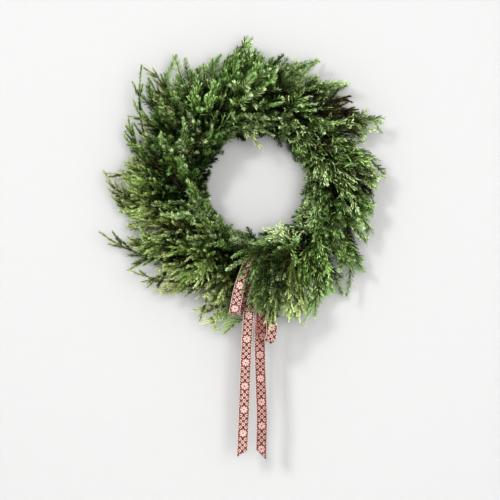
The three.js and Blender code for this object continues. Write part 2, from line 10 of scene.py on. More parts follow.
import bpy
import numpy as np
from bpy.props import FloatProperty, FloatVectorProperty, IntProperty, PointerProperty
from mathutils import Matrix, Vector


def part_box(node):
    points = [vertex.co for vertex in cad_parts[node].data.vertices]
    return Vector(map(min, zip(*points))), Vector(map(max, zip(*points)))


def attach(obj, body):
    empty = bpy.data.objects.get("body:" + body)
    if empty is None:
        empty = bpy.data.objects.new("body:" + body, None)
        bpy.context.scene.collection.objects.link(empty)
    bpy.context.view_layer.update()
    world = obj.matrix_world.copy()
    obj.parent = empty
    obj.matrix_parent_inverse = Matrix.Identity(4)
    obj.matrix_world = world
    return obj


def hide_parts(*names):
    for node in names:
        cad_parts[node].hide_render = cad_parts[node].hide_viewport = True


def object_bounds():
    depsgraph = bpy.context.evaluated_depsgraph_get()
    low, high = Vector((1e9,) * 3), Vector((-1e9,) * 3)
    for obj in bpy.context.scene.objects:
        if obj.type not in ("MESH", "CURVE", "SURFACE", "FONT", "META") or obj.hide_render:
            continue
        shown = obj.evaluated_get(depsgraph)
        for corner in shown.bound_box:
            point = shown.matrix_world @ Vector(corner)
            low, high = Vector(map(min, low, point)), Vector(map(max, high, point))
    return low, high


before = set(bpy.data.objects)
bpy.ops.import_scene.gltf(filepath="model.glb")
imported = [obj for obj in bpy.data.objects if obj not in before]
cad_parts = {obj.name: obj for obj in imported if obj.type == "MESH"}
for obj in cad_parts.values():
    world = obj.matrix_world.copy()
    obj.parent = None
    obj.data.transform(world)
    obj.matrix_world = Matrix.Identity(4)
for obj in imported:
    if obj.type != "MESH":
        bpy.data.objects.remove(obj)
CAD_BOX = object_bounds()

bl_info = {
    "name": "Evergreen Wreath",
    "version": (1, 0, 0),
    "blender": (4, 5, 0),
    "location": "View3D > Sidebar > Wreath",
    "description": "A fresh evergreen wreath with a ribbon bow, and the wall that it hangs on",
    "category": "Add Mesh",
}


# ---- driving sizes, the frame's own

MM = 0.001
RING_LOW, RING_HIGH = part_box("wire_ring")
MIDDLE = np.array((RING_LOW + RING_HIGH) / 2)     # of the wire ring, in the row frame, in metres
RING_WIRE = 4.0
CRIMP = 2.0                                       # how far each crimp leaves the centre line
CRIMPS = 24
RING_RADIUS = (RING_HIGH.x - RING_LOW.x) / 2 / MM - RING_WIRE / 2 - CRIMP
BUNCHES = 16
FIRST_BUNCH = 6.0                                 # degrees clockwise from 12 o'clock
SECTOR = 360.0 / BUNCHES
FAN_DEPTH = -9.0                                  # depth of the line that the sprays fan out from
STEM_RADIUS = 5.0                                 # of one spray's bound stem ends, all together
STEM_SPAN = (0.4, 6.0)                            # where they lie, degrees past the bunch's own line
TWIG_START = STEM_SPAN[0] + (STEM_SPAN[1] - STEM_SPAN[0]) * 0.6   # ... and where the twigs start
HOLE_RADIUS = 90.0
HOLE_SHIFT = np.array([4.7, 0.0, 4.2])            # of the open hole's middle, from the ring's
BACK_LIMIT = 2.0                                  # nothing green lies deeper: the wall is behind
BINDING_WIRE = 1.2
BINDING_GAP = 0.5                                 # left between it and what it binds
BINDING_SPAN = (1, 3.5)                           # where its turn lies, degrees past the bunch's line
BINDING_RUN = (7, 19)                             # ... and its run behind the ring
BINDING_LIFT = 0.2                                # how much nearer the wall the run lies
BOW_WIRE = 1.2

Family = namedtuple("Family", "fan lean stem")
FAMILIES = {
    "inner": Family(fan=(118, 210), lean=0.5, stem=(-5.3, -6.9)),
    "face": Family(fan=(48, 118), lean=0.45, stem=(0, -16.1)),
    "outer": Family(fan=(-30, 48), lean=0.25, stem=(5.3, -6.9)),
}

# The furthest tips of the outline, bunch by bunch: (across the sector, from the wreath's middle).
LONG_TIPS = (
    ((0.27, 293),), ((0.14, 275), (0.47, 286), (0.86, 259)), ((0.35, 282),),
    ((0.49, 254), (0.86, 269)), ((0.3, 281), (0.56, 302)), ((0.16, 282), (0.42, 312), (0.82, 293)),
    ((0.79, 318),), ((0.14, 313), (0.57, 294)), ((0.2, 304), (0.56, 321)), ((0.15, 343), (0.5, 291)),
    ((0.13, 305), (0.36, 323)), ((0.14, 275), (0.54, 303), (0.84, 348)), ((0.15, 316), (0.72, 324)),
    ((0.5, 277), (0.83, 286)), ((0.14, 315), (0.86, 277)), ((0.58, 297),),
)
TIP_SLOTS = (0.2, 0.5, 0.8)                       # these get a shorter tip if no long one is near
SLOT_WIDTH = 0.21
FILL_RADIUS = (252, 266)                          # how far out those shorter tips stand
LONG_FAN = (10, 24)                               # how far to the front the outline's tips lean
FILL_FAN = (30, 38)
# The tips of the other sprays, each as the ranges that its (across, reach, fan) is drawn from.
INNER_TIPS = (
    ((0.4, 0.6), (70, 82), (164, 176)),
    ((0.68, 0.8), (56, 68), (136, 150)),
    ((0.2, 0.3), (56, 66), (132, 160)),
)
FACE_TIPS = (
    ((0.4, 0.6), (72, 80), (78, 92)),
    ((0.72, 0.8), (60, 70), (62, 72)),
)
FACE_THIRD_TIPS = (                               # bunch by bunch in turn
    ((0.2, 0.28), (58, 68), (64, 80)),
    ((0.5, 0.74), (56, 66), (98, 106)),
)
FIRST_SIDE = 0.34                                 # where on the main curve the last side twig leaves it
SIDE_STEP = 0.13

KNOT = np.array([9.0, -68.0, -152.0])
KNOT_RADIUS = 9.0
KNOT_CLEARANCE = 20.0
BOW_LOW = np.array([-62.0, -101.0, -335.0])       # the space kept for the bow's loops
BOW_HIGH = np.array([49.0, -70.0, -138.0])
COVER_BUNCH = 5                                   # its face spray hangs over the knot

TOWARDS_VIEWER = np.array([0.0, -1.0, 0.0])
GOLDEN_ANGLE = math.radians(137.508)
ALONG = np.linspace(0, 1, 40)                     # places along a twig's line


# ---- twigs that only the looks have

# They come out of a spray's heart and lie along the wreath's surface.
# tips: how far from the wreath's middle, on top of the body's edge for the outer ones.
Fill = namedtuple("Fill", "count tips length layer across")
FILL_TWIGS = {
    "inner": Fill(10, (102, 146), (36, 54), (0.55, 1.0), (0.5, 2.0)),
    "face": Fill(13, (140, 222), (52, 80), (0.5, 1.04), (0.5, 2.0)),
    "outer": Fill(17, (-62, 4), (58, 90), (0.4, 1.0), (0.1, 1.6)),
}
FILL_LEAVES = (0.06, 0.3)                         # where on the main curve they leave it
LONG_STRAND = 1.25                                # how much longer cedar's are
# The radius of the body's edge bunch by bunch, and how many more twigs some outer sprays get.
BODY_RADIUS = (287, 279, 262, 262, 248, 258, 262, 266, 276, 280, 284, 296, 286, 290, 294, 290)
EXTRA_TWIGS = {4: 5, 5: 8, 6: 6, 7: 4, 8: 8, 9: 6, 10: 3, 11: 6, 12: 8, 13: 9, 14: 3}
LOW_BUNCH = 11                                    # its longest twig bows out less than the frame's
LOW_BOW = 24.0
# How the twigs lie, in degrees clockwise from straight out, at each radius and bunch by bunch.
FLOW_RADII = (100, 125, 180, 240, 275)
INNER_FLOW = (116, 98)
FACE_FLOW = (83, 80, 70, 52, 47, 46, 38, 36, 29, 23, 20, 35, 46, 66, 58, 64)
OUTER_FLOW = (44, 60, 52, 50, 42, 31, 28, 23, 21, 18, 22, 31, 29, 26, 42, 50)
TIP_FLOW = (36, 31, 34, 43, 36, 16, 8, 14, 20, 15, 12, 30, 20, 8, 25, 42)
FLOW_SPREAD = 9
# The foliage stands highest at a radius, and falls to its edge over the crown's half width.
CROWN_RADIUS, CROWN_HALF = 176, 112
EDGE_DEPTH, CROWN_DEPTH = -24, -64
# The share of a twig that has no leaves.
MAIN_BARE, SIDE_BARE, FILL_BARE = 0.24, 0.14, 0.26
COVER_BARE, FORK_BARE = 0.3, 0.1
OUTER_TONE = 0.45                                 # the outline's own twigs are no darker

# Where each fork of the cover spray leaves its main line, and the rest of the fork's own controls.
COVER_FORKS = (
    (0.72, (30, -112, -222), (8, -114, -236), (2, -111, -264)),
    (0.68, (48, -108, -210), (49, -112, -234), (48, -110, -264)),
    (0.5, (52, -106, -176), (26, -116, -196), (14, -112, -232)),
    (0.56, (60, -106, -180), (64, -110, -205), (62, -104, -240)),
    (0.3, (70, -100, -130), (20, -112, -138), (-8, -108, -196)),
    (0.34, (64, -106, -134), (18, -116, -150), (-3, -112, -214)),
    (0.38, (58, -108, -146), (14, -118, -168), (-16, -110, -240)),
    (0.42, (52, -110, -160), (4, -118, -190), (-12, -112, -262)),
    (0.46, (50, -110, -170), (22, -118, -186), (-2, -114, -246)),
    (0.6, (46, -112, -200), (20, -118, -222), (10, -114, -272)),
    (0.8, (34, -114, -240), (36, -114, -258), (36, -110, -284)),
    (0.4, (70, -104, -150), (44, -112, -160), (34, -112, -212)),
    (0.52, (58, -108, -180), (44, -114, -210), (38, -111, -250)),
)

SHORTEST_SHOOT, LONGEST_SHOOT = 12.0, 30.0
# Of side shoots: places on the twig, share of what is left of it, angle. Strands are thin juniper.
SHOOTS = {
    "fir": ((0.52,), 0.6, 34),
    "cedar": ((0.34, 0.48, 0.62, 0.76), 0.66, 16),
    "juniper": ((0.36, 0.5, 0.64, 0.78), 0.6, 22),
    "strand": ((0.76, 0.88), 0.5, 16),
}
BARE_POINTS = 12                                  # a line cut to fewer points grows nothing


# ---- small helpers


def lerp(low, high, share):
    return low + (high - low) * share


def unit(vectors):
    length = np.linalg.norm(vectors, axis=-1, keepdims=True)
    return vectors / np.maximum(length, 1e-9)


def square_to(direction, axis):
    """The part of a direction that is square to another, at unit length."""
    along = np.sum(direction * axis, axis=-1, keepdims=True)
    return unit(direction - along * axis)


def smooth_step(low, high, value):
    share = np.clip((value - low) / (high - low), 0, 1)
    return share * share * (3 - 2 * share)


def draw(number):
    """The frame's own repeatable draw from 0 to 1."""
    wave = math.sin(number * 12.9898 + 78.233) * 43758.5453
    return wave - math.floor(wave)


def wreath_points(angle, out, depth):
    """Places on the wreath: out is from the ring's centre line, away from the middle."""
    angle, out, depth = np.broadcast_arrays(np.radians(angle), out, depth)
    radius = RING_RADIUS + out
    return np.stack([radius * np.sin(angle), depth * 1.0, radius * np.cos(angle)], axis=-1)


def bunch_angle(bunch):
    return FIRST_BUNCH + SECTOR * bunch


def cell_points(bunch, family, places):
    """Places in a spray's cell, as (across, reach, fan), turned into points."""
    across, reach, fan = np.moveaxis(np.asarray(places, float), -1, 0)
    angle = bunch_angle(bunch) + SECTOR * across + FAMILIES[family].lean * reach
    fan = np.radians(fan)
    return wreath_points(angle, reach * np.cos(fan), FAN_DEPTH - reach * np.sin(fan))


def bezier(controls, share):
    """Points of a cubic curve."""
    controls = np.asarray(controls, float)
    share = np.atleast_1d(share)[:, None]
    left = 1 - share
    return (left ** 3 * controls[0] + 3 * share * left ** 2 * controls[1]
            + 3 * share ** 2 * left * controls[2] + share ** 3 * controls[3])


def route(points, step):
    """A smooth line through a list of points, with a point about every step."""
    points = np.asarray(points, float)
    ends = [2 * points[0] - points[1], *points, 2 * points[-1] - points[-2]]
    drawn = []
    for p0, p1, p2, p3 in zip(ends, ends[1:], ends[2:], ends[3:]):
        knots = np.cumsum([0] + [math.sqrt(np.linalg.norm(b - a)) + 1e-6
                                 for a, b in ((p0, p1), (p1, p2), (p2, p3))])
        count = max(2, math.ceil(np.linalg.norm(p2 - p1) / step))
        t = np.linspace(knots[1], knots[2], count, endpoint=False)[:, None]
        a1, a2, a3 = (((k1 - t) * a + (t - k0) * b) / (k1 - k0) for a, b, k0, k1 in (
            (p0, p1, knots[0], knots[1]), (p1, p2, knots[1], knots[2]), (p2, p3, knots[2], knots[3])))
        b1 = ((knots[2] - t) * a1 + (t - knots[0]) * a2) / (knots[2] - knots[0])
        b2 = ((knots[3] - t) * a2 + (t - knots[1]) * a3) / (knots[3] - knots[1])
        drawn.append(((knots[2] - t) * b1 + (t - knots[1]) * b2) / (knots[2] - knots[1]))
    return np.concatenate([*drawn, points[-1:]])


def lengths_along(points):
    steps = np.linalg.norm(np.diff(points, axis=0), axis=1)
    return np.concatenate([[0.0], np.cumsum(steps)])


def at_lengths(points, along, wanted):
    """Values of a line's points, or of anything listed with them, at places along it."""
    return np.stack([np.interp(wanted, along, points[:, i]) for i in range(points.shape[1])], axis=-1)


def in_bow_space(points, margin):
    """Which points lie in the space kept for the bow's loops and knot."""
    loops = np.all((points > BOW_LOW - margin) & (points < BOW_HIGH + margin), axis=-1)
    knot = np.linalg.norm(points - KNOT, axis=-1) < KNOT_CLEARANCE + margin
    return loops | knot


# ---- meshes

# On leaves, freshness is lit_share's painted shade times the place along the twig.
CHANNELS = 5        # tone, place along the blade, freshness with painted shade, warmth, ridge highlight
# The rings of corners along a blade: place along it, share of its width and of its thickness.
NEEDLE_RINGS = ((0.0, 0.6, 0.8), (0.66, 1.0, 1.0))
SCALE_RINGS = ((0.0, 1.0, 1.0),)


class Pile:
    """Corners, faces and values of one piece, gathered before the mesh is made."""

    def __init__(self, allowed=None):
        """allowed: says which of a list of places a blade's tip may reach."""
        self.points, self.values, self.faces, self.finishes = [], [], [], []
        self.count = 0
        self.allowed = allowed

    def add(self, points, values, faces, finish):
        """faces: an array of triangles or quads, as places in points."""
        self.points.append(points)
        self.values.append(np.broadcast_to(values, (len(points), CHANNELS)))
        for part in faces:
            self.faces.append(np.asarray(part, np.int64) + self.count)
            self.finishes.append(np.full(len(part), finish))
        self.count += len(points)

    def blades(self, root, direction, side, size, bend, tone, fresh, warm,
               rings=NEEDLE_RINGS):
        """Needles, lobes and scales: flattened three-sided spikes. size: length, width, thickness."""
        count = len(root)
        direction = unit(direction)
        side = square_to(side, direction)
        above = np.cross(side, direction)
        bend, tone, fresh, warm = (np.broadcast_to(value, count) for value in (bend, tone, fresh, warm))
        bend = (bend * size[:, 0])[:, None]
        if self.allowed:
            kept = self.allowed(root + direction * size[:, :1] + above * bend)
            root, direction, side, above, size, bend, tone, fresh, warm = (
                value[kept] for value in (root, direction, side, above, size, bend, tone, fresh, warm))
        count = len(root)
        if count == 0:
            return
        length, width, thick = (column[:, None] for column in np.moveaxis(size, -1, 0))
        rows = []
        for along, spread, rise in rings:
            centre = root + direction * length * along + above * bend * along ** 2
            half = side * width * spread / 2
            ridge = above * thick * rise
            rows += [centre - half, centre + half, centre + ridge]
        rows.append(root + direction * length + above * bend)
        corners = len(rows)
        values = np.empty((count, corners, CHANNELS))
        values[:, :, 0] = tone[:, None]
        values[:, :, 1] = [along for along, _, _ in rings for _ in range(3)] + [1]
        # Freshness, which on leaves is painted shade from lit_share as well.
        values[:, :, 2] = fresh[:, None]
        values[:, :, 3] = warm[:, None]
        # A painted highlight: the top ridge of each blade is drawn lighter.
        values[:, :, 4] = [0, 0, 1] * len(rings) + [0.5]
        last = corners - 4
        walls = np.array([[a, b, b + 3, a + 3] for row in range(0, last, 3)
                          for a, b in ((row, row + 1), (row + 1, row + 2), (row + 2, row))])
        ends = np.array([[0, 2, 1]] + [[last + a, last + b, last + 3]
                                       for a, b in ((0, 1), (1, 2), (2, 0))])
        start = (np.arange(count) * corners)[:, None, None]
        faces = [(start + part).reshape(-1, part.shape[1]) for part in (walls, ends) if len(part)]
        self.add(np.stack(rows, axis=1).reshape(-1, 3), values.reshape(-1, CHANNELS), faces, 0)

    def tube(self, points, radius, sides, values, finish=1):
        """A round stem or wire along a line of points. radius: one for each point."""
        tangent = unit(np.gradient(points, axis=0))
        up = carried(tangent, TOWARDS_VIEWER)
        across = np.cross(tangent, up)
        turn = np.arange(sides) * 2 * math.pi / sides
        ring = (up[:, None] * np.cos(turn)[None, :, None]
                + across[:, None] * np.sin(turn)[None, :, None])
        radius = np.broadcast_to(radius, len(points))
        corners = (points[:, None] + ring * radius[:, None, None]).reshape(-1, 3)
        rows = len(points)
        first = np.arange(rows - 1)[:, None] * sides
        here = np.arange(sides)[None]
        after = (here + 1) % sides
        walls = np.stack([first + here, first + after, first + sides + after,
                          first + sides + here], axis=-1).reshape(-1, 4)
        ends = [[0, i + 1, i] for i in range(1, sides - 1)]
        last = (rows - 1) * sides
        ends += [[last, last + i, last + i + 1] for i in range(1, sides - 1)]
        values = np.repeat(np.broadcast_to(values, (rows, CHANNELS)), sides, axis=0)
        self.add(corners, values, [walls, ends], finish)

    def piece(self, name, materials):
        """The mesh object, in metres in the row frame."""
        points = np.concatenate(self.points) * MM + MIDDLE
        values = np.concatenate(self.values)
        mesh = bpy.data.meshes.new(name)
        mesh.vertices.add(len(points))
        mesh.vertices.foreach_set("co", points.astype(np.float32).ravel())
        corners = np.concatenate([part.ravel() for part in self.faces])
        sizes = np.concatenate([np.full(len(part), part.shape[1]) for part in self.faces])
        mesh.loops.add(len(corners))
        mesh.loops.foreach_set("vertex_index", corners.astype(np.int32))
        mesh.polygons.add(len(sizes))
        starts = np.concatenate([[0], np.cumsum(sizes)[:-1]])
        mesh.polygons.foreach_set("loop_start", starts.astype(np.int32))
        mesh.polygons.foreach_set("material_index", np.concatenate(self.finishes).astype(np.int32))
        mesh.polygons.foreach_set("use_smooth", np.ones(len(sizes), bool))
        growth = mesh.attributes.new("growth", "FLOAT_COLOR", "POINT")
        growth.data.foreach_set("color", values[:, :4].astype(np.float32).ravel())
        # A painted highlight along each blade's top ridge, read by the leaf shader.
        ridge_highlight = mesh.attributes.new("ridge_highlight", "FLOAT", "POINT")
        ridge_highlight.data.foreach_set("value", values[:, 4].astype(np.float32))
        mesh.update(calc_edges=True)
        for material in materials:
            mesh.materials.append(material)
        piece = bpy.data.objects.new(name, mesh)
        bpy.context.scene.collection.objects.link(piece)
        return piece


def carried(tangents, start):
    """A direction square to a line, carried along it without twist."""
    normals = np.empty_like(tangents)
    normal = start
    if abs(np.dot(start, tangents[0])) > 0.95:
        normal = np.array([0.0, 0.0, 1.0])
    for i, tangent in enumerate(tangents):
        normal = normal - np.dot(normal, tangent) * tangent
        normal = normal / np.linalg.norm(normal)
        normals[i] = normal
    return normals


# ---- twigs


class Twig:
    """A stem's centre line, with its upper side and left carried along it."""

    def __init__(self, points, bare, thickness, warm, tone, facing=TOWARDS_VIEWER, leaf=1.0):
        """leaf: how long its leaves are, as a share of its species' own."""
        self.leaf = leaf
        self.points = points
        self.along = lengths_along(points)
        self.length = self.along[-1]
        self.start = bare * self.length
        self.thickness = thickness
        self.warm = warm
        self.tone = tone
        self.tangent = unit(np.gradient(points, axis=0))
        self.up = carried(self.tangent, facing)
        self.side = np.cross(self.tangent, self.up)

    def at(self, wanted):
        point = at_lengths(self.points, self.along, wanted)
        lines = (unit(at_lengths(values, self.along, wanted))
                 for values in (self.tangent, self.up, self.side))
        return point, *lines


def spray_tips(bunch, family):
    """The frame's own tips of one spray, longest first."""
    def chance(item):
        return draw(bunch * 31 + item * 7 + len(family) * 101)

    if family != "outer":
        ranges = INNER_TIPS if family == "inner" else (*FACE_TIPS, FACE_THIRD_TIPS[bunch % 2])
        return [[lerp(*span, chance(3 * i + axis + 1)) for axis, span in enumerate(tip)]
                for i, tip in enumerate(ranges)]
    tips = []
    for i, (across, radius) in enumerate(LONG_TIPS[bunch]):
        fan = lerp(*LONG_FAN, chance(i + 1))
        tips.append([across, (radius - RING_RADIUS) / math.cos(math.radians(fan)), fan])
    free = [slot for slot in TIP_SLOTS
            if all(abs(across - slot) > SLOT_WIDTH for across, _ in LONG_TIPS[bunch])]
    for i, slot in enumerate(free):
        fan = lerp(*FILL_FAN, chance(i + 11))
        radius = lerp(*FILL_RADIUS, chance(i + 21))
        tips.append([slot, (radius - RING_RADIUS) / math.cos(math.radians(fan)), fan])
    return sorted(tips, key=lambda tip: -tip[1])


def main_controls(family, tip):
    """The frame's own curve of a spray's main twig, as places in its cell."""
    out, depth = FAMILIES[family].stem
    reach = math.hypot(out, FAN_DEPTH - depth)
    fan = (math.degrees(math.atan2(FAN_DEPTH - depth, out)) + 90) % 360 - 90
    rooted = (TWIG_START - FAMILIES[family].lean * reach) / SECTOR
    return np.array([
        [rooted, reach, fan],
        [rooted + 0.22, reach + 9, tip[2]],
        [lerp(0.45, tip[0], 0.8), tip[1] * 0.5, tip[2]],
        tip,
    ])


def side_controls(main, tip, leaves):
    start, onward = bezier(main, [leaves, leaves + 0.14])
    tip = np.asarray(tip, float)
    return np.array([start, lerp(onward, tip, 0.3), start + (tip - start) * [0.85, 0.66, 0.85], tip])


def cover_lines():
    """The lines of the fir spray that hangs over the knot of the bow."""
    out, depth = FAMILIES["face"].stem
    root = wreath_points(bunch_angle(COVER_BUNCH) + TWIG_START, out, depth)
    main = np.array([root, [100, -60, -130], [30, -124, -190], [24, -113, -275]])
    lines = [bezier(main, ALONG)]
    for leaves, *others in COVER_FORKS:
        lines.append(bezier([bezier(main, leaves)[0], *others], ALONG))
    return lines


def shortened(points, less):
    """A line without the last of its length."""
    along = lengths_along(points)
    return at_lengths(points, along, np.linspace(0, max(along[-1] - less, along[-1] / 2), len(points)))


def reach_of(points):
    """How far out of the wreath's heart something is."""
    return np.hypot(np.hypot(points[:, 0], points[:, 2]) - RING_RADIUS, points[:, 1] - FAN_DEPTH)


def surface_normal(point):
    """Which way the wreath's surface faces near a place."""
    radius = math.hypot(point[0], point[2])
    middle = np.array([point[0], 0, point[2]]) * RING_RADIUS / radius + [0, FAN_DEPTH, 0]
    return unit(point - middle)


def free_part(points, margin):
    """A line as far as it keeps out of the bow's space, the hole and the wall."""
    radius = np.hypot(points[:, 0] - HOLE_SHIFT[0], points[:, 2] - HOLE_SHIFT[2])
    blocked = (in_bow_space(points, margin) | (radius < HOLE_RADIUS + 6)
               | (points[:, 1] > BACK_LIMIT - 2))
    stop = int(np.argmax(blocked)) if blocked.any() else len(points)
    return points[:stop]


def spray_lines(kind, bunch, family, rng):
    """One spray's twigs, the frame's own first: centre line, share that is bare, least tone."""
    if family == "face" and bunch == COVER_BUNCH:
        return [(line, FORK_BARE if i else COVER_BARE, 0.0) for i, line in enumerate(cover_lines())]
    longest, *others = spray_tips(bunch, family)
    main = main_controls(family, longest)
    controls = [(main, MAIN_BARE)]
    for i, tip in enumerate(others):
        leaves = FIRST_SIDE + SIDE_STEP * (len(others) - 1 - i)
        controls.append((side_controls(main, tip, leaves), SIDE_BARE))
    least = OUTER_TONE if family == "outer" else 0.0
    lines = [(cell_points(bunch, family, bezier(places, ALONG)), bare, least)
             for places, bare in controls]
    if family == "outer" and bunch == LOW_BUNCH:
        points, bare, least = lines[0]
        bow = LOW_BOW * np.sin(math.pi * ALONG)[:, None]
        lines[0] = (points - unit(points * [1, 0, 1]) * bow, bare, least)
    count = FILL_TWIGS[family].count + (EXTRA_TWIGS.get(bunch, 0) if family == "outer" else 0)
    strand = LONG_STRAND if kind == "cedar" and family != "inner" else 1.0
    for i in range(count):
        line = fill_line(bunch, family, main, (i + rng.random()) / count, strand, rng)
        lines.append((line, FILL_BARE, 0.0))
    return lines


def surface_depth(radius):
    """How far towards the viewer the foliage stands, at a distance from the wreath's middle."""
    off = (radius - CROWN_RADIUS) / CROWN_HALF
    return EDGE_DEPTH + CROWN_DEPTH * np.sqrt(np.clip(1 - off ** 2, 0, 1))


def fill_line(bunch, family, main, share, strand, rng):
    """A twig out of a spray's heart that turns to lie along the wreath's surface."""
    fill = FILL_TWIGS[family]
    start = cell_points(bunch, family, bezier(main, lerp(*FILL_LEAVES, rng.random())))[0]
    edge = BODY_RADIUS[bunch] if family == "outer" else 0
    tip_radius = edge + lerp(*fill.tips, share)
    length = lerp(*fill.length, rng.random()) * strand
    flow = math.radians(rng.normal(0, FLOW_SPREAD) + np.interp(
        tip_radius, FLOW_RADII, (*INNER_FLOW, FACE_FLOW[bunch], OUTER_FLOW[bunch], TIP_FLOW[bunch])))
    angle = math.radians(bunch_angle(bunch) + SECTOR * lerp(*fill.across, rng.random()))
    line = surface_line(start, angle, tip_radius, length, flow, lerp(*fill.layer, rng.random()))
    return line + HOLE_SHIFT * np.linspace(0, 1, len(line))[:, None] if family == "inner" else line


def surface_line(start, angle, tip_radius, length, flow, layer):
    """A line that ends at an angle and radius of the wreath, and lies along its surface before that.

    flow: which way it points, clockwise from straight out. layer: how high in the foliage it lies.
    """
    aside = length * math.sin(flow)
    onward = length * math.cos(flow)
    turn_radius = max(math.sqrt(tip_radius ** 2 - aside ** 2) - onward, HOLE_RADIUS + 14)
    angle = angle - math.asin(aside / tip_radius)
    outward = np.array([math.sin(angle), 0, math.cos(angle)])
    clockwise = np.array([math.cos(angle), 0, -math.sin(angle)])
    turn = outward * turn_radius + [0, surface_depth(turn_radius) * layer, 0]
    tip = (outward * (turn_radius + onward) + clockwise * aside
           + [0, surface_depth(tip_radius) * layer, 0])
    lift = lerp(start, turn, 0.3) + [0, (turn[1] - start[1]) * 0.35, 0]
    return bezier([start, lift, turn, tip], ALONG)


def side_shoots(twig, rng, places, share, angle):
    """Shorter shoots to both sides of a twig, each a share of the length that is left there."""
    shoots = []
    for place in places:
        for sign in (-1, 1):
            here = (place + rng.normal(0, 0.04)) * twig.length
            point, tangent, up, side = (values[0] for values in twig.at(np.array([here])))
            turn = math.radians(angle + rng.normal(0, 6))
            reach = (twig.length - here) * share * (0.75 + 0.4 * rng.random())
            reach = min(reach, LONGEST_SHOOT * (0.8 + 0.4 * rng.random()))
            if reach < SHORTEST_SHOOT:
                continue
            aside = tangent * math.cos(turn) + sign * side * math.sin(turn) + up * rng.normal(0.1, 0.12)
            along = np.linspace(0, 1, 12)[:, None]
            line = free_part(point + aside * reach * along + tangent * reach * 0.2 * along ** 2, 3)
            if len(line) > 6:
                tone = float(np.clip(twig.tone + rng.normal(0, 0.15), 0, 1))
                shoots.append(Twig(line, 0.04, twig.thickness * 0.6, twig.warm, tone, up, twig.leaf))
    return shoots


# ---- leaves of the three species

HEART_REACH = (42, 84)                            # from the dark heart to the light surface
LIT_DEPTH = 75                                    # foliage this far to the front is in full light
DEEP_LIGHT = 0.62                                 # the light that is left at the wall
RIM_RADIUS = (165, 115)                           # the hole's upper left rim turns from the key lamp
RIM_TURN, RIM_SHADE = 0.9, 0.45
# Light and dark leaves: share of the twig's own tone, share of chance, and less by.
BLADE_TONE, BLADE_CHANCE, BLADE_LESS = 0.72, 0.62, 0.16
NEEDLE_WIDTH, NEEDLE_THICK = 1.7, 0.8
NEEDLE_RANKS = (92, -92, 74, -74, 100, -100, 25, 84, -84, 60, -60, -30)  # degrees round from the top
NEEDLE_SLANT = (56, 32)                           # from the twig, at its first leaves and at its tip
TUFT = 9                                          # needles at a fir twig's tip
SCALE_WIDTH, SCALE_THICK = 1.35, 0.9
SCALE_SLANT = (44, 24)
# A branchlet of cedar. span: where on it its lobes stand; fork: their angle, in degrees.
Form = namedtuple("Form", "width thick lobes span reach fork bend scatter")
CEDAR_FORM = Form(1.7, 0.9, 6, (0.12, 0.84), 0.44, 25, -0.08, 0.1)
CEDAR_TURN = (34, 16)
TWIG_THICKNESS = {"fir": 1.9, "cedar": 1.5, "juniper": 1.3}
TWIG_END = 0.55                                   # radius of a twig's tip
TIP_LENGTH = {"fir": 7.0, "cedar": 9.0, "juniper": 4.0}      # of the leaves past the end of a twig


def lit_share(points):
    """Painted shade and light: dark in the wreath's heart, nearer the wall and on the hole's upper left
    rim, which turns from the key lamp, and light where the sprays come out of it.
    """
    towards = np.clip(-points[:, 1] / LIT_DEPTH, 0, 1)
    radius = np.hypot(points[:, 0], points[:, 2])
    turned = np.clip(RIM_TURN * (points[:, 2] - points[:, 0]) / radius, 0, 1)
    turned = turned * smooth_step(*RIM_RADIUS, radius)
    return (smooth_step(*HEART_REACH, reach_of(points)) * lerp(DEEP_LIGHT, 1.0, towards)
            * (1 - RIM_SHADE * turned))


def blade_tones(twig, rng, count):
    """Light and dark leaves round the twig's own tone."""
    return np.clip(BLADE_TONE * twig.tone + BLADE_CHANCE * rng.random(count) - BLADE_LESS, 0, 1)


def blade_sizes(length, width, thick):
    return np.stack([length, np.full_like(length, width), np.full_like(length, thick)], axis=-1)


def leaning(twig, wanted, turn, slant):
    """Places along a twig, the way out of it there, and the direction of a leaf at its slant."""
    point, tangent, up, side = twig.at(wanted)
    outward = up * np.cos(turn)[:, None] + side * np.sin(turn)[:, None]
    slant = slant[:, None]
    return point, outward, outward * np.sin(slant) + tangent * np.cos(slant)


def fir_needles(pile, twig, rng, looks):
    """Needles in two ranks beside the twig, fewer above it, and a tuft at its tip."""
    leafy = twig.length - twig.start
    count = int(leafy * looks.fir_density)
    if count < 4:
        return
    place = (np.arange(count) + 0.5 * rng.random(count)) / count
    rank = np.array(NEEDLE_RANKS)[np.arange(count) % len(NEEDLE_RANKS)]
    turn = np.radians(rank + rng.normal(0, 11, count))
    slant = np.radians(lerp(*NEEDLE_SLANT, place) + rng.normal(0, 6, count))
    slant = slant * np.where(np.abs(rank) < 60, 0.8, 1.0)
    point, outward, direction = leaning(twig, twig.start + place * leafy, turn, slant)
    needle = looks.fir_needle / MM * (0.88 + 0.12 * twig.warm)
    length = needle * (0.85 + 0.3 * rng.random(count))
    length *= twig.leaf * (0.75 + 0.25 * smooth_step(0, 0.25, place))
    length *= 1 - 0.3 * smooth_step(0.65, 1, place)
    # The needles' freshness is painted shade from lit_share times the place along the twig; the tuft's is
    # lit_share alone.
    pile.blades(point, direction, np.cross(direction, outward),
                blade_sizes(length, NEEDLE_WIDTH, NEEDLE_THICK), 0.06 + 0.1 * rng.random(count),
                blade_tones(twig, rng, count), lit_share(point) * lerp(0.1, 1.0, place), twig.warm)
    slant = np.radians(6 + 26 * (np.arange(TUFT) / TUFT))
    point, outward, direction = leaning(twig, np.full(TUFT, twig.length - 0.5),
                                        np.arange(TUFT) * GOLDEN_ANGLE, slant)
    length = needle * twig.leaf * (0.42 + 0.2 * rng.random(TUFT))
    pile.blades(point, direction, np.cross(direction, outward + 0.01),
                blade_sizes(length, NEEDLE_WIDTH * 0.9, NEEDLE_THICK), 0.05,
                blade_tones(twig, rng, TUFT), lit_share(point), twig.warm)


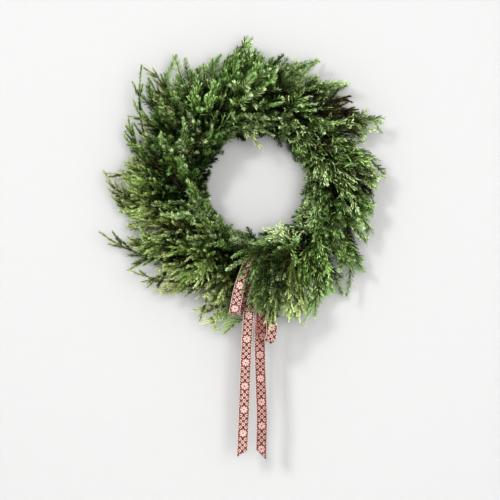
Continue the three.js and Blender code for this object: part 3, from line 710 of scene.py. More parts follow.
def lobed_fronds(pile, root, axis, flat, length, form, tone, fresh, warm, rng):
    """Flat branchlets, each with lobes to left and right in turn."""
    count = len(root)
    flat = square_to(flat, axis)
    beside = np.cross(axis, flat)
    pile.blades(root, axis, beside, blade_sizes(length, form.width, form.thick), form.bend, tone,
                fresh, warm)
    for step in range(form.lobes):
        share = lerp(*form.span, step / (form.lobes - 1))
        hand = 1.0 if step % 2 == 0 else -1.0
        base = root + axis * (length * share)[:, None]
        base = base + flat * (form.bend * length * share ** 2)[:, None]
        fork = np.radians(form.fork + rng.normal(0, 7, count))[:, None]
        lobe = axis * np.cos(fork) + beside * hand * np.sin(fork)
        lobe += flat * rng.normal(0, form.scatter, count)[:, None]
        reach = (length * form.reach * (1 - 0.65 * share) + 1.5) * (0.75 + 0.5 * rng.random(count))
        # fresh carries painted shade from lit_share; lobes further along the branchlet are drawn lighter.
        pile.blades(base, lobe, np.cross(flat, lobe),
                    blade_sizes(reach, form.width * 0.92, form.thick), form.bend,
                    np.clip(tone + rng.normal(0, 0.1, count), 0, 1),
                    np.clip(fresh * (0.85 + 0.35 * share), 0, 1), warm, SCALE_RINGS)


def cedar_fronds(pile, twig, rng, looks):
    """Flat branchlets to left and right in turn, each with lobes of small scales."""
    leafy = twig.length - twig.start
    count = int(leafy / looks.cedar_pitch * MM)
    if count < 3:
        return
    place = (np.arange(count) + 0.6 * rng.random(count)) / count
    point, tangent, up, side = twig.at(twig.start + place * leafy)
    sign = np.where(np.arange(count) % 2 == 0, 1.0, -1.0)[:, None]
    turn = np.radians(lerp(*CEDAR_TURN, place) + rng.normal(0, 4, count))[:, None]
    lift = rng.normal(0.05, 0.16, count)[:, None]
    axis = unit(tangent * np.cos(turn) + side * sign * np.sin(turn) + up * lift)
    length = looks.cedar_branchlet / MM * np.sin(math.pi * np.clip(place * 0.66 + 0.2, 0, 1)) ** 0.8
    length *= (0.8 + 0.4 * rng.random(count)) * twig.leaf
    # Freshness with painted shade: lit_share, dark in the wreath's heart, times the place along the twig.
    fresh = lit_share(point) * lerp(0.1, 1.0, place)
    lobed_fronds(pile, point, axis, up, length, CEDAR_FORM, blade_tones(twig, rng, count), fresh,
                 twig.warm, rng)


def juniper_scales(pile, twig, rng, looks):
    """Short sharp scales all round, close to the twig."""
    leafy = twig.length - twig.start
    count = int(leafy / (looks.juniper_pitch / MM * twig.leaf))
    if count < 6:
        return
    place = (np.arange(count) + rng.random(count)) / count
    point, tangent, up, side = twig.at(twig.start + place * leafy)
    turn = np.arange(count) * GOLDEN_ANGLE + rng.normal(0, 0.4, count)
    outward = unit(up * np.cos(turn)[:, None] + side * 1.5 * np.sin(turn)[:, None])
    slant = np.radians(lerp(*SCALE_SLANT, place) + rng.normal(0, 7, count))[:, None]
    axis = unit(outward * np.sin(slant) + tangent * np.cos(slant))
    length = looks.juniper_scale / MM * (1 - 0.3 * place) * (0.7 + 0.5 * rng.random(count))
    # The freshness passed is painted shade from lit_share times the place along the twig.
    pile.blades(point, axis, np.cross(axis, outward),
                blade_sizes(length * twig.leaf, SCALE_WIDTH, SCALE_THICK), 0.05,
                blade_tones(twig, rng, count), lit_share(point) * lerp(0.1, 1.0, place), twig.warm)


LEAVES = {"fir": fir_needles, "cedar": cedar_fronds, "juniper": juniper_scales}


# ---- sprays

TONES = {"fir": (-0.05, 1.05), "cedar": (0.1, 1.2), "juniper": (-0.05, 1.1)}
# The inner sprays' twigs are darkened as painted shade; COVER_SHADE and BUNCH_SHADES make the cover spray
# and each bunch darker or lighter.
SHADES = {"inner": 0.45, "face": 1.0, "outer": 1.0}
COVER_SHADE = 0.7
BUNCH_SHADES = (1.0, 0.85, 0.75, 1.15, 1.2, 1.45, 1.6, 1.35, 1.0, 0.95, 1.0, 1.0, 0.9, 0.9, 1.0, 1.0)
STEMS_AROUND = 6                                  # cut stems round the middle one of a spray
BOW_MARGIN, TWIG_MARGIN = 1.5, 5                  # kept from the bow by leaves and by twigs
BOX_MARGIN = 0.003                                # how far leaves may pass the frame's box, metres
SPRIG_MARGIN = 0.004                              # ... and those of sprigs at its low sides


def bark_values(count, fresh, warm):
    values = np.zeros((count, CHANNELS))
    values[:, 0] = 0.5
    values[:, 1] = np.linspace(0, 1, count)
    values[:, 2] = fresh
    values[:, 3] = warm
    return values


def grow_twig(pile, kind, twig, rng, looks):
    """The stem and leaves of one twig."""
    radius = lerp(twig.thickness, TWIG_END, (twig.along / twig.length) ** 0.8)
    pile.tube(twig.points, radius, 5, bark_values(len(twig.points), twig.along / twig.length, twig.warm))
    LEAVES[kind](pile, twig, rng, looks)


def grow(pile, kind, twig, rng, looks, shoots=None):
    """A twig with its side shoots, which are those of its species if no others are named."""
    grow_twig(pile, kind, twig, rng, looks)
    for shoot in side_shoots(twig, rng, *SHOOTS[shoots or kind]):
        grow_twig(pile, kind, shoot, rng, looks)


def stem_ends(pile, bunch, family, rng):
    """Cut stems side by side, within the bar that stands for them in the frame."""
    out, depth = FAMILIES[family].stem
    stem = STEM_RADIUS / 3
    turns = np.arange(STEMS_AROUND) * math.pi / 3 + 0.3
    for x, y in [(0.0, 0.0)] + [(2 * stem * math.cos(turn), 2 * stem * math.sin(turn)) for turn in turns]:
        past = np.linspace(STEM_SPAN[0] + 0.8 * rng.random(), STEM_SPAN[1] + 0.6 * rng.random(), 5)
        line = wreath_points(bunch_angle(bunch) + past, out + x, depth + y)
        pile.tube(line, stem * 0.97, 6, bark_values(5, 0.0, 0.5))


def near_box(tips, below=SPRIG_MARGIN):
    """Which tips keep near the frame's own box. below: how far they may pass its low sides."""
    placed = tips * MM + MIDDLE
    return np.all((placed > np.array(CAD_BOX[0]) - below)
                  & (placed < np.array(CAD_BOX[1]) + BOX_MARGIN), axis=-1)


def tip_rule(covers):
    """Which tips keep out of the bow's space, the wall and the hole, and in the frame's own box."""
    def allowed(tips):
        blocked = in_bow_space(tips, BOW_MARGIN)
        if covers:
            blocked &= tips[:, 1] > BOW_LOW[1]
        blocked |= tips[:, 1] > BACK_LIMIT
        blocked |= np.hypot(tips[:, 0] - HOLE_SHIFT[0], tips[:, 2] - HOLE_SHIFT[2]) < HOLE_RADIUS
        return ~blocked & near_box(tips, BOX_MARGIN)

    return allowed


def grow_lines(pile, kind, lines, mood, shade, covers, rng, looks):
    """Twigs and their side shoots along the lines of one spray."""
    for line, bare, least in lines:
        points = shortened(line, TIP_LENGTH[kind])
        if not covers:
            points = free_part(points, TWIG_MARGIN)
        if len(points) < BARE_POINTS:
            continue
        warm = float(np.clip(0.5 * mood + 0.5 * rng.random() + rng.normal(0, 0.08), 0, 1))
        facing = unit(TOWARDS_VIEWER + 0.7 * surface_normal(points[-1]) + 0.25 * rng.normal(size=3))
        tone = lerp(*TONES[kind], max(rng.random(), least)) * shade
        grow(pile, kind, Twig(points, bare, TWIG_THICKNESS[kind], warm, tone, facing), rng, looks)


def spray_piece(node, looks, materials):
    kind, family, number = node.split("_")
    bunch = int(number) - 1
    covers = family == "face" and bunch == COVER_BUNCH
    rng = np.random.default_rng(looks.seed * 1000 + bunch * 10 + len(family))
    pile = Pile(tip_rule(covers))
    stem_ends(pile, bunch, family, rng)
    shade = COVER_SHADE if covers else SHADES[family] * BUNCH_SHADES[bunch]
    grow_lines(pile, kind, spray_lines(kind, bunch, family, rng), rng.random(), shade, covers, rng, looks)
    piece = pile.piece(f"{kind}_spray_{family}_{number}", materials)
    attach(piece, "root")
    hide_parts(node)


# ---- loose sprigs

# Each row: how warm and how light the sprig is, the share of it that is bare, its leaves' length against
# its species' own, and the points that it passes, from the wreath's heart to its tip.
BOW_HEART = (52, -14, -168)
STRAND_HEART = ((75, -14, -150), (77, -62, -146), (75, -96, -160))
STRAND_ENDS = (
    ((58, -104, -205), (49, -98, -250)), ((64, -106, -212), (60, -98, -266)),
    ((70, -106, -220), (68, -96, -281)), ((77, -104, -220), (79, -94, -275)),
    ((82, -102, -215), (87, -90, -271)), ((88, -98, -220), (93, -84, -287)),
    ((92, -94, -212), (102, -82, -266)), ((68, -110, -205), (64, -104, -246)),
)
HANGING_STRANDS = [(0.6, 0.4 + 0.18 * (i % 3), 0.42, 0.55, *STRAND_HEART, *ends)
                   for i, ends in enumerate(STRAND_ENDS) for _ in range(2)] + [
    (0.5, 0.65, 0.6, 0.6, (66, -14, -158), (56, -84, -166), (44, -112, -220), (36, -114, -262),
     (29, -110, -300)),
    (0.5, 0.5, 0.6, 0.6, (66, -14, -158), (56, -84, -166), (42, -114, -222), (30, -115, -258),
     (22, -112, -286)),
]
KNOT_SPRIGS = [
    (0.6, 0.7, 0.55, 0.8, BOW_HEART, (34, -64, -150), (2, -98, -142), (-28, -100, -158),
     (-56, -92, -176)),
    (0.4, 0.45, 0.5, 0.8, BOW_HEART, (30, -66, -146), (4, -102, -136), (-20, -104, -138),
     (-44, -98, -150)),
    (0.3, 0.5, 0.5, 0.8, BOW_HEART, (36, -70, -146), (14, -106, -142), (-4, -108, -166),
     (-16, -106, -200)),
    (0.5, 0.35, 0.5, 0.8, BOW_HEART, (36, -70, -148), (18, -108, -150), (4, -110, -182),
     (-6, -107, -222)),
    (0.3, 0.35, 0.5, 0.7, BOW_HEART, (34, -68, -148), (6, -101, -144), (-12, -104, -176),
     (-24, -102, -218)),
    (0.4, 0.45, 0.5, 0.7, BOW_HEART, (36, -68, -148), (8, -102, -148), (-7, -105, -190),
     (-20, -102, -242)),
    (0.3, 0.3, 0.5, 0.8, BOW_HEART, (30, -68, -146), (0, -100, -142), (-20, -103, -162),
     (-33, -100, -190)),
    (0.3, 0.3, 0.5, 0.8, BOW_HEART, (38, -74, -150), (26, -108, -160), (14, -111, -196), (8, -107, -240)),
]
LOW_WISPS = [
    (0.5, 0.7, 0.5, 0.45, (-36, -14, -166), (-56, -52, -190), (-66, -62, -222), (-72, -60, -262),
     (-86, -52, -303)),
    (0.4, 0.6, 0.55, 0.45, (-30, -14, -168), (-46, -56, -200), (-54, -64, -236), (-62, -60, -274),
     (-84, -52, -300)),
    (0.4, 0.4, 0.5, 0.5, (-44, -14, -164), (-72, -52, -186), (-92, -58, -216), (-104, -52, -250),
     (-114, -44, -280)),
    (0.3, 0.3, 0.5, 0.5, (-36, -14, -166), (-60, -56, -190), (-76, -62, -214), (-84, -58, -244),
     (-88, -52, -262)),
]
TOP_LEFT_SPRIGS = [
    (0.7, 0.45, 0.45, 0.85, (-108, -14, 128), (-134, -56, 170), (-148, -62, 210), (-157, -56, 246),
     (-165, -48, 274)),
    (0.6, 0.3, 0.45, 0.8, (-108, -14, 128), (-128, -56, 166), (-138, -62, 200), (-144, -56, 232),
     (-150, -48, 262)),
    (0.3, 0.5, 0.45, 0.75, (-124, -14, 114), (-160, -50, 150), (-178, -54, 178), (-188, -48, 208),
     (-192, -40, 232)),
]
TOP_LEFT_WISPS = [
    (0.6, 0.3, 0.4, 0.8, (-112, -14, 118), (-160, -54, 160), (-182, -56, 196), (-206, -48, 232),
     (-235, -40, 254)),
    (0.7, 0.2, 0.4, 0.8, (-116, -14, 112), (-160, -54, 148), (-184, -54, 172), (-204, -46, 200),
     (-220, -38, 229)),
    (0.6, 0.35, 0.4, 0.8, (-116, -14, 112), (-160, -56, 140), (-186, -56, 160), (-206, -48, 182),
     (-222, -40, 202)),
    (0.6, 0.3, 0.4, 0.8, (-128, -14, 92), (-176, -56, 112), (-204, -56, 124), (-232, -48, 142),
     (-263, -40, 150)),
]
DRIED_SPRIGS = [
    (0.2, 0.2, 0.5, 0.8, (120, -14, 110), (140, -68, 160), (158, -74, 174), (182, -72, 180),
     (204, -62, 174)),
    (0.2, 0.4, 0.5, 0.8, (120, -14, 110), (146, -70, 150), (166, -76, 158), (190, -72, 156),
     (214, -60, 142)),
    (0.2, 0.1, 0.5, 0.8, (124, -14, 106), (150, -70, 140), (170, -76, 148), (196, -70, 144),
     (220, -58, 124)),
    (0.2, 0.0, 0.5, 0.8, (120, -14, 112), (142, -70, 156), (164, -76, 166), (184, -74, 152),
     (200, -68, 132)),
]
HOLE_SPRIGS = [
    (0.9, 0.85, 0.5, 1.0, (-36, -14, 166), (-22, -62, 134), (-9, -66, 104), (6, -64, 86), (17, -60, 74)),
    (0.8, 0.8, 0.5, 1.0, (96, -14, -140), (80, -66, -118), (60, -72, -102), (38, -72, -94),
     (17, -70, -90)),
    (0.7, 0.7, 0.5, 1.0, (90, -14, -144), (78, -60, -128), (58, -66, -112), (40, -68, -106),
     (26, -68, -102)),
]
EDGE_CEDAR = [
    (0.5, 0.6, 0.6, 1.0, (140, -14, 96), (188, -62, 128), (222, -56, 142), (250, -48, 136),
     (266, -40, 112)),
]
EDGE_JUNIPER = [
    (1.0, 0.0, 0.75, 1.0, (160, -14, 60), (196, -60, 40), (216, -58, 22), (234, -50, -6),
     (250, -42, -38)),
    (1.0, 0.05, 0.75, 1.0, (160, -14, 56), (196, -58, 36), (214, -56, 14), (226, -50, -8),
     (236, -44, -30)),
]
SPRIGS = {
    "hanging_strands": {"juniper": HANGING_STRANDS},
    "knot_sprigs": {"fir": KNOT_SPRIGS},
    "low_wisps": {"juniper": LOW_WISPS},
    "top_left_sprigs": {"fir": TOP_LEFT_SPRIGS},
    "top_left_wisps": {"juniper": TOP_LEFT_WISPS},
    "dried_sprigs": {"juniper": DRIED_SPRIGS},
    "hole_sprigs": {"cedar": HOLE_SPRIGS},
    "edge_sprigs": {"cedar": EDGE_CEDAR, "juniper": EDGE_JUNIPER},
}
STRAND_LEAF = 0.6                                 # sprigs with shorter leaves branch like strands
SPRIG_SWAY = 2.5                                  # of a sprig's tip, by chance

# Twigs that end on the photograph's outline: tip across and up, degrees clockwise from straight out,
# how light it is and how warm.
EDGE_TIPS = {
    "fir": ((-109, 258, 20, 0.3, 0.9), (-78, 275, 34, 0.7, 0.5), (132, 269, 20, 0.7, 0.3),
            (195, 216, 25, 0.5, 0.3), (210, -181, 24, 0.6, 0.4), (185, -229, 17, 0.6, 0.5),
            (246, -61, 26, 0.6, 0.4)),
    "cedar": ((-13, 311, 8, 0.9, 0.4), (-32, 294, 4, 0.8, 0.4), (2, 296, 12, 0.9, 0.3),
              (17, 284, 20, 0.7, 0.3), (-48, 284, 6, 0.8, 0.4), (42, 275, 26, 0.6, 0.4),
              (143, -239, 21, 0.7, 0.6), (237, -124, 34, 0.7, 0.5), (118, -240, 14, 0.8, 0.6),
              (164, -214, 22, 0.6, 0.5), (196, -160, 30, 0.6, 0.5)),
    "juniper": ((-250, 111, 6, 0.4, 0.8), (-269, 61, 17, 0.4, 0.9), (-320, 28, -4, 0.4, 0.9),
                (-307, -15, -2, 0.5, 0.6), (-283, 19, 24, 0.3, 0.9), (-290, -34, 24, 0.5, 0.6),
                (-275, -88, 11, 0.5, 0.5), (-269, -122, 7, 0.5, 0.6), (-269, -178, 0, 0.5, 0.4),
                (-246, -134, 8, 0.6, 0.4), (-231, -216, 0, 0.5, 0.4), (-162, -223, 9, 0.5, 0.4),
                (279, 17, 22, 0.5, 0.6), (-262, -60, 14, 0.6, 0.5), (-270, 88, 14, 0.6, 0.6)),
}
EDGE_LENGTH = {"fir": 74, "cedar": 80, "juniper": 96}
EDGE_START = 14                                   # degrees before its tip that an edge twig leaves at
EDGE_LAYER, EDGE_BARE, EDGE_LEAF = 0.75, 0.3, 0.8


def edge_piece(kind, looks, materials):
    """Twigs of one species that reach the outline where no bunch's own line does."""
    rng = np.random.default_rng(looks.seed + 50 + len(kind))
    pile = Pile(tip_rule(False))
    for x, z, flow, tone, warm in EDGE_TIPS[kind]:
        start = math.degrees(math.atan2(x, z)) - EDGE_START
        points = surface_line(wreath_points(start, 4, -15), math.atan2(x, z), math.hypot(x, z),
                              EDGE_LENGTH[kind], math.radians(flow), EDGE_LAYER)
        twig = Twig(shortened(points, 3), EDGE_BARE, TWIG_THICKNESS[kind], warm, tone, leaf=EDGE_LEAF)
        grow(pile, kind, twig, rng, looks)
    piece = pile.piece(kind + "_edge_twigs", [materials[kind + "_leaf"], materials["twig_bark"]])
    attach(piece, "root")


def sprig_piece(name, looks, materials):
    """Sprigs that no bunch's own lines show. They start in the wreath's heart too."""
    rng = np.random.default_rng(looks.seed + len(name))
    pile = Pile(near_box)
    for kind, sprigs in SPRIGS[name].items():
        for warm, tone, bare, leaf, *points in sprigs:
            points = route(points, 4.0)
            points = points + rng.normal(0, SPRIG_SWAY, 3) * np.linspace(0, 1, len(points))[:, None]
            twig = Twig(points, bare, TWIG_THICKNESS[kind], warm, tone, leaf=leaf)
            grow(pile, kind, twig, rng, looks, "strand" if leaf < STRAND_LEAF else None)
    kind = next(iter(SPRIGS[name]))
    leaf = "dried_leaf" if name == "dried_sprigs" else kind + "_leaf"
    piece = pile.piece(name, [materials[leaf], materials["twig_bark"]])
    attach(piece, "root")


# ---- shader nodes


class Value:
    """A shader value that sums are written with: +, -, * and abs() place Math nodes."""

    def __init__(self, nodes, socket):
        self.nodes, self.socket = nodes, socket

    def __add__(self, other):
        return self.nodes.math("ADD", self, other)

    def __sub__(self, other):
        return self.nodes.math("SUBTRACT", self, other)

    def __rsub__(self, other):
        return self.nodes.math("SUBTRACT", other, self)

    def __mul__(self, other):
        return self.nodes.math("MULTIPLY", self, other)

    def __abs__(self):
        return self.nodes.math("ABSOLUTE", self)


class Nodes:
    """Places shader nodes in a tree and joins them."""

    def __init__(self, tree):
        self.tree = tree

    def add(self, kind, values=None, **settings):
        """values: what its inputs are fed, by name or number."""
        node = self.tree.nodes.new("ShaderNode" + kind)
        for name, setting in settings.items():
            setattr(node, name, setting)
        self.fill(node, values or {})
        return node

    def fill(self, node, values):
        for name, value in values.items():
            socket = node.inputs[name]
            if isinstance(value, Value):
                value = value.socket
            if isinstance(value, bpy.types.NodeSocket):
                self.tree.links.new(value, socket)
            elif socket.type == "RGBA":
                socket.default_value = (*value, 1.0)
            else:
                socket.default_value = value

    def math(self, operation, *values):
        return Value(self, self.add("Math", dict(enumerate(values)), operation=operation).outputs[0])

    def mix(self, share, first, second):
        return self.add("Mix", {0: share, 6: first, 7: second}, data_type="RGBA").outputs[2]

    def span(self, value, low, high, to_low=0.0, to_high=1.0):
        values = dict(enumerate((value, low, high, to_low, to_high)))
        return Value(self, self.add("MapRange", values, interpolation_type="SMOOTHSTEP").outputs[0])

    def noise(self, scale, detail=2.0):
        values = {"Vector": self.add("TexCoord").outputs["Object"], "Scale": scale, "Detail": detail}
        return Value(self, self.add("TexNoise", values).outputs["Fac"])

    def growth(self):
        """The four values of the attribute that every piece has."""
        growth = self.add("Attribute", attribute_name="growth")
        parts = self.add("SeparateColor", {0: growth.outputs["Color"]})
        return [Value(self, socket) for socket in (*parts.outputs[:3], growth.outputs["Alpha"])]

    def hue(self, colour, hue, value):
        return self.add("HueSaturation", {"Hue": hue, "Value": value, "Color": colour}).outputs[0]

    def bump(self, height, distance, strength=1.0):
        values = {"Height": height, "Distance": distance, "Strength": strength}
        return self.add("Bump", values).outputs["Normal"]


def shader_group(name, colours, values, gives):
    """An empty node group that gives a colour and one more value, with its nodes and sockets."""
    tree = bpy.data.node_groups.new(name, "ShaderNodeTree")
    for side, kind, labels in (("INPUT", "Color", colours), ("INPUT", "Float", values),
                               ("OUTPUT", "Color", ["Color"]), ("OUTPUT", "Float", [gives])):
        for label in labels:
            tree.interface.new_socket(label, in_out=side, socket_type="NodeSocket" + kind)
    given = tree.nodes.new("NodeGroupInput")
    return tree, Nodes(tree), given.outputs, tree.nodes.new("NodeGroupOutput")


# Deep stands for old leaves and painted shade, Young for new tips and painted light.
LEAF_COLOURS = ("Deep", "Green", "Young", "Dry")
LEAF_SHARES = ("Young Share", "Dry Share")


def leaf_group():
    """Colour and gloss of needles and scales, from their age, place and chance, and from painted shade
    and light.
    """
    tree, nodes, given, made = shader_group("leaf_colour", LEAF_COLOURS, LEAF_SHARES, "Roughness")
    tone, along, fresh, warm = nodes.growth()
    ridge_highlight = Value(nodes, nodes.add("Attribute", attribute_name="ridge_highlight").outputs["Fac"])
    # Painted shade and age: where fresh is low, in the wreath's heart or at a twig's base, leaves keep
    # the deep colour.
    grown_and_lit = nodes.span(fresh * 0.8 + tone * 0.4 + (nodes.noise(14.0) - 0.5) * 0.8, 0.1, 0.95)
    colour = nodes.mix(grown_and_lit, given["Deep"], given["Green"])
    # New growth and painted light: the young colour goes where fresh is high, on lit leaves near the
    # twigs' tips.
    young = nodes.span(fresh + (warm - 0.5) * 0.9 + tone * 0.3, 0.6, 1.4)
    colour = nodes.mix(young * given["Young Share"], colour, given["Young"])
    dry = nodes.span(warm * 0.5 + tone * 0.5, 0.72, 0.95)
    colour = nodes.mix(dry * given["Dry Share"], colour, given["Dry"])
    # The ridge highlight is a painted highlight, lighter along each blade's top ridge.
    value = tone * 1.52 + 0.09 + ridge_highlight * 0.2 + along * 0.2
    nodes.fill(made, {"Color": nodes.hue(colour, warm * -0.03 + 0.512, value),
                      "Roughness": 0.5 - tone * 0.18})
    return tree


def new_material(name):
    """A material with its shader nodes and the Principled BSDF that it keeps."""
    material = bpy.data.materials.new(name)
    material.use_nodes = True
    nodes = Nodes(material.node_tree)
    shader = next(n for n in material.node_tree.nodes if n.type == "BSDF_PRINCIPLED")
    return material, nodes, shader


def leaf_material(name, group, colours, shares, gloss):
    _, nodes, shader = new_material(name)
    values = dict(zip((*LEAF_COLOURS, *LEAF_SHARES), (*colours, *shares)))
    leaf = nodes.add("Group", values, node_tree=group)
    nodes.fill(shader, {"Base Color": leaf.outputs["Color"], "Roughness": leaf.outputs["Roughness"],
                        "Specular IOR Level": gloss})


def bark_material(looks):
    """Brown bark, greener towards the tips, with small ridges."""
    _, nodes, shader = new_material("twig_bark")
    _, _, fresh, _ = nodes.growth()
    grain = nodes.noise(420.0, 4.0)
    brown = nodes.mix(grain, looks.bark_dark, looks.bark_light)
    green = nodes.span(fresh, 0.35, 1.0) * 0.7
    nodes.fill(shader, {"Base Color": nodes.mix(green, brown, looks.bark_green), "Roughness": 0.75,
                        "Normal": nodes.bump(grain, 0.0006)})


BARE_WIRE = (0.3, 0.31, 0.29)
RUBBED = (0.62, 0.74)                             # wear at which the enamel gives way to the wire


def enamel_material(looks):
    """Green enamel on wire, rubbed a little."""
    material, nodes, shader = new_material("green_enamel")
    wear = nodes.noise(160.0, 5.0)
    colour = nodes.mix(nodes.span(wear, *RUBBED), looks.wire_green, BARE_WIRE)
    nodes.fill(shader, {"Base Color": colour, "Metallic": nodes.span(wear, *RUBBED, 0.1, 0.9),
                        "Roughness": nodes.span(wear, 0.3, 0.7, 0.32, 0.5),
                        "Normal": nodes.bump(wear, 0.0002)})
    return material


# ---- wires

BINDING_SIDES = (90, 45, 0, -45, -90, -135, 180, 135)      # which way each side of a turn faces, degrees
# The bow's wire: how it bends round the ring, its gap there, its places between two sprays, its twist.
HOOK_TURNS = (-60, -25, 20, 65, 110, 155, 200)
HOOK_GAP = 0.6
SEAM_PLACES = (14, 36)
TWIST_PITCH = 5


def wire_piece(name, node, lines, radius, sides, material):
    pile = Pile()
    for line in lines:
        pile.tube(line, radius, sides, bark_values(len(line), 0.5, 0.5), finish=0)
    piece = pile.piece(name, [material])
    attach(piece, "root")
    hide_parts(node)


def ring_line():
    angle = np.linspace(0, 360, CRIMPS * 16 + 1)
    return wreath_points(angle, CRIMP * np.cos(np.radians(angle * CRIMPS)), 0)


def binding_line():
    """One turn of wire round each bunch's stems and the ring, and on behind the ring to the next."""
    clearance = BINDING_GAP + BINDING_WIRE / 2
    bound = [((CRIMP, 0), RING_WIRE / 2), ((-CRIMP, 0), RING_WIRE / 2)]
    bound += [(family.stem, STEM_RADIUS) for family in FAMILIES.values()]
    sides = []
    for angle in BINDING_SIDES:
        x, y = math.cos(math.radians(angle)), math.sin(math.radians(angle))
        sides.append((x, y, max(a * x + b * y + radius for (a, b), radius in bound) + clearance))
    turn = []
    for (x, y, distance), (x2, y2, distance2) in zip(sides, sides[1:] + sides[:1]):
        cross = x * y2 - y * x2
        turn.append(((distance * y2 - distance2 * y) / cross, (distance2 * x - distance * x2) / cross))
    points = []
    for bunch in range(BUNCHES):
        for i, (out, depth) in enumerate(turn):
            past = lerp(*BINDING_SPAN, i / (len(turn) - 1))
            points.append(wreath_points(bunch_angle(bunch) + past, out, depth))
        if bunch < BUNCHES - 1:
            for past in BINDING_RUN:
                points.append(wreath_points(bunch_angle(bunch) + past, turn[-1][0],
                                            turn[-1][1] + BINDING_LIFT))
    line = route(np.array(points), 2.5)
    line[:, 1] = np.minimum(line[:, 1], CAD_BOX[1].y / MM - BINDING_WIRE / 2)
    return line


def bow_wire_lines():
    """Two strands, twisted round the ring behind the bow and run forward to the knot."""
    angle = math.degrees(math.atan2(KNOT[0], KNOT[2]))
    hook = RING_WIRE / 2 + BOW_WIRE / 2 + HOOK_GAP
    points = [wreath_points(angle, hook * math.cos(turn), hook * math.sin(turn))
              for turn in map(math.radians, HOOK_TURNS)]
    seam = math.radians(FAMILIES["face"].fan[1])
    points += [wreath_points(angle, reach * math.cos(seam), FAN_DEPTH - reach * math.sin(seam))
               for reach in SEAM_PLACES]
    arrival = unit(points[-1] - KNOT)
    points.append(KNOT + arrival * (KNOT_RADIUS - 1))
    middle = route(np.array(points), 1.0)
    tangent = unit(np.gradient(middle, axis=0))
    up = carried(tangent, TOWARDS_VIEWER)
    side = np.cross(tangent, up)
    turn = lengths_along(middle)[:, None] * 2 * math.pi / TWIST_PITCH
    offset = (up * np.cos(turn) + side * np.sin(turn)) * BOW_WIRE / 4
    return [middle + offset, middle - offset]


# ---- ribbon

# Each route: its points, how far the left edge's cut ends below the right, and how much its face takes
# the front's look; the right tail's 0.6 draws its face darker and redder, towards the back's look.
RIBBON_ROUTES = {
    "left_tail": ([(8, -67, -152), (0, -74, -172), (-8, -75, -225), (-14.3, -77, -281),
                   (-19, -78, -360), (-22.5, -79, -450), (-26.8, -78, -558)], 15, 1.0),
    "right_tail": ([(11, -69, -152), (14, -77, -176), (13, -81, -235), (10, -80, -327),
                    (11.5, -79, -400), (14, -80, -480), (12.9, -79, -560)], -22, 0.6),
    "left_loop": ([(6, -70, -150), (-3, -85, -149), (-13, -93, -160), (-23, -96, -184),
                   (-33, -97, -214), (-39, -97, -242), (-42, -94, -262), (-38, -87, -266),
                   (-29, -83, -246), (-14, -82, -202), (5, -72, -158)], 0, 1.0),
    "right_loop": ([(12, -70, -151), (22, -85, -158), (31, -95, -184), (34, -98, -230),
                    (34.5, -98, -282), (32.5, -96, -316), (24, -91, -324), (16, -87, -312),
                    (13.5, -87, -270), (12.5, -86, -215), (11, -73, -159)], 0, 1.0),
}
RIBBON_COLUMNS = 17
GATHER_LENGTH = 42.0                              # over which it is pleated into the knot
GATHERED_WIDTH = 0.52
PLEATS = 3
PLEAT_DEPTH = 2.3
RIBBON_ROW = 2.2
# How the cloth swings: how far, and over which length.
SWAY, RIPPLE, CURL, TILT = (0.9, 31), (0.5, 13), (1.1, 57), (2.4, 74)
KNOT_TURNS = (-0.6, 1.15)
KNOT_RISE = 0.9                                   # of the wrap's end over its start
KNOT_WIDTH = 0.9                                  # of the wrap, as a share of the ribbon's
RIBBON_SEED = 3

# The print: rosettes in a row, a lattice between them, and a border with beads at each edge.
PRINT_REPEAT = 49.0
PETALS, ROSETTE_RADIUS, HEART_RADIUS = 8, 7.2, 1.6
LATTICE_CELLS = 4
BORDER_PLACE, BEAD_PITCH = 8.9, 5.4
THREAD = 0.55
INKS = ("Ground", "Pale", "Dark", "Edge", "Reverse")


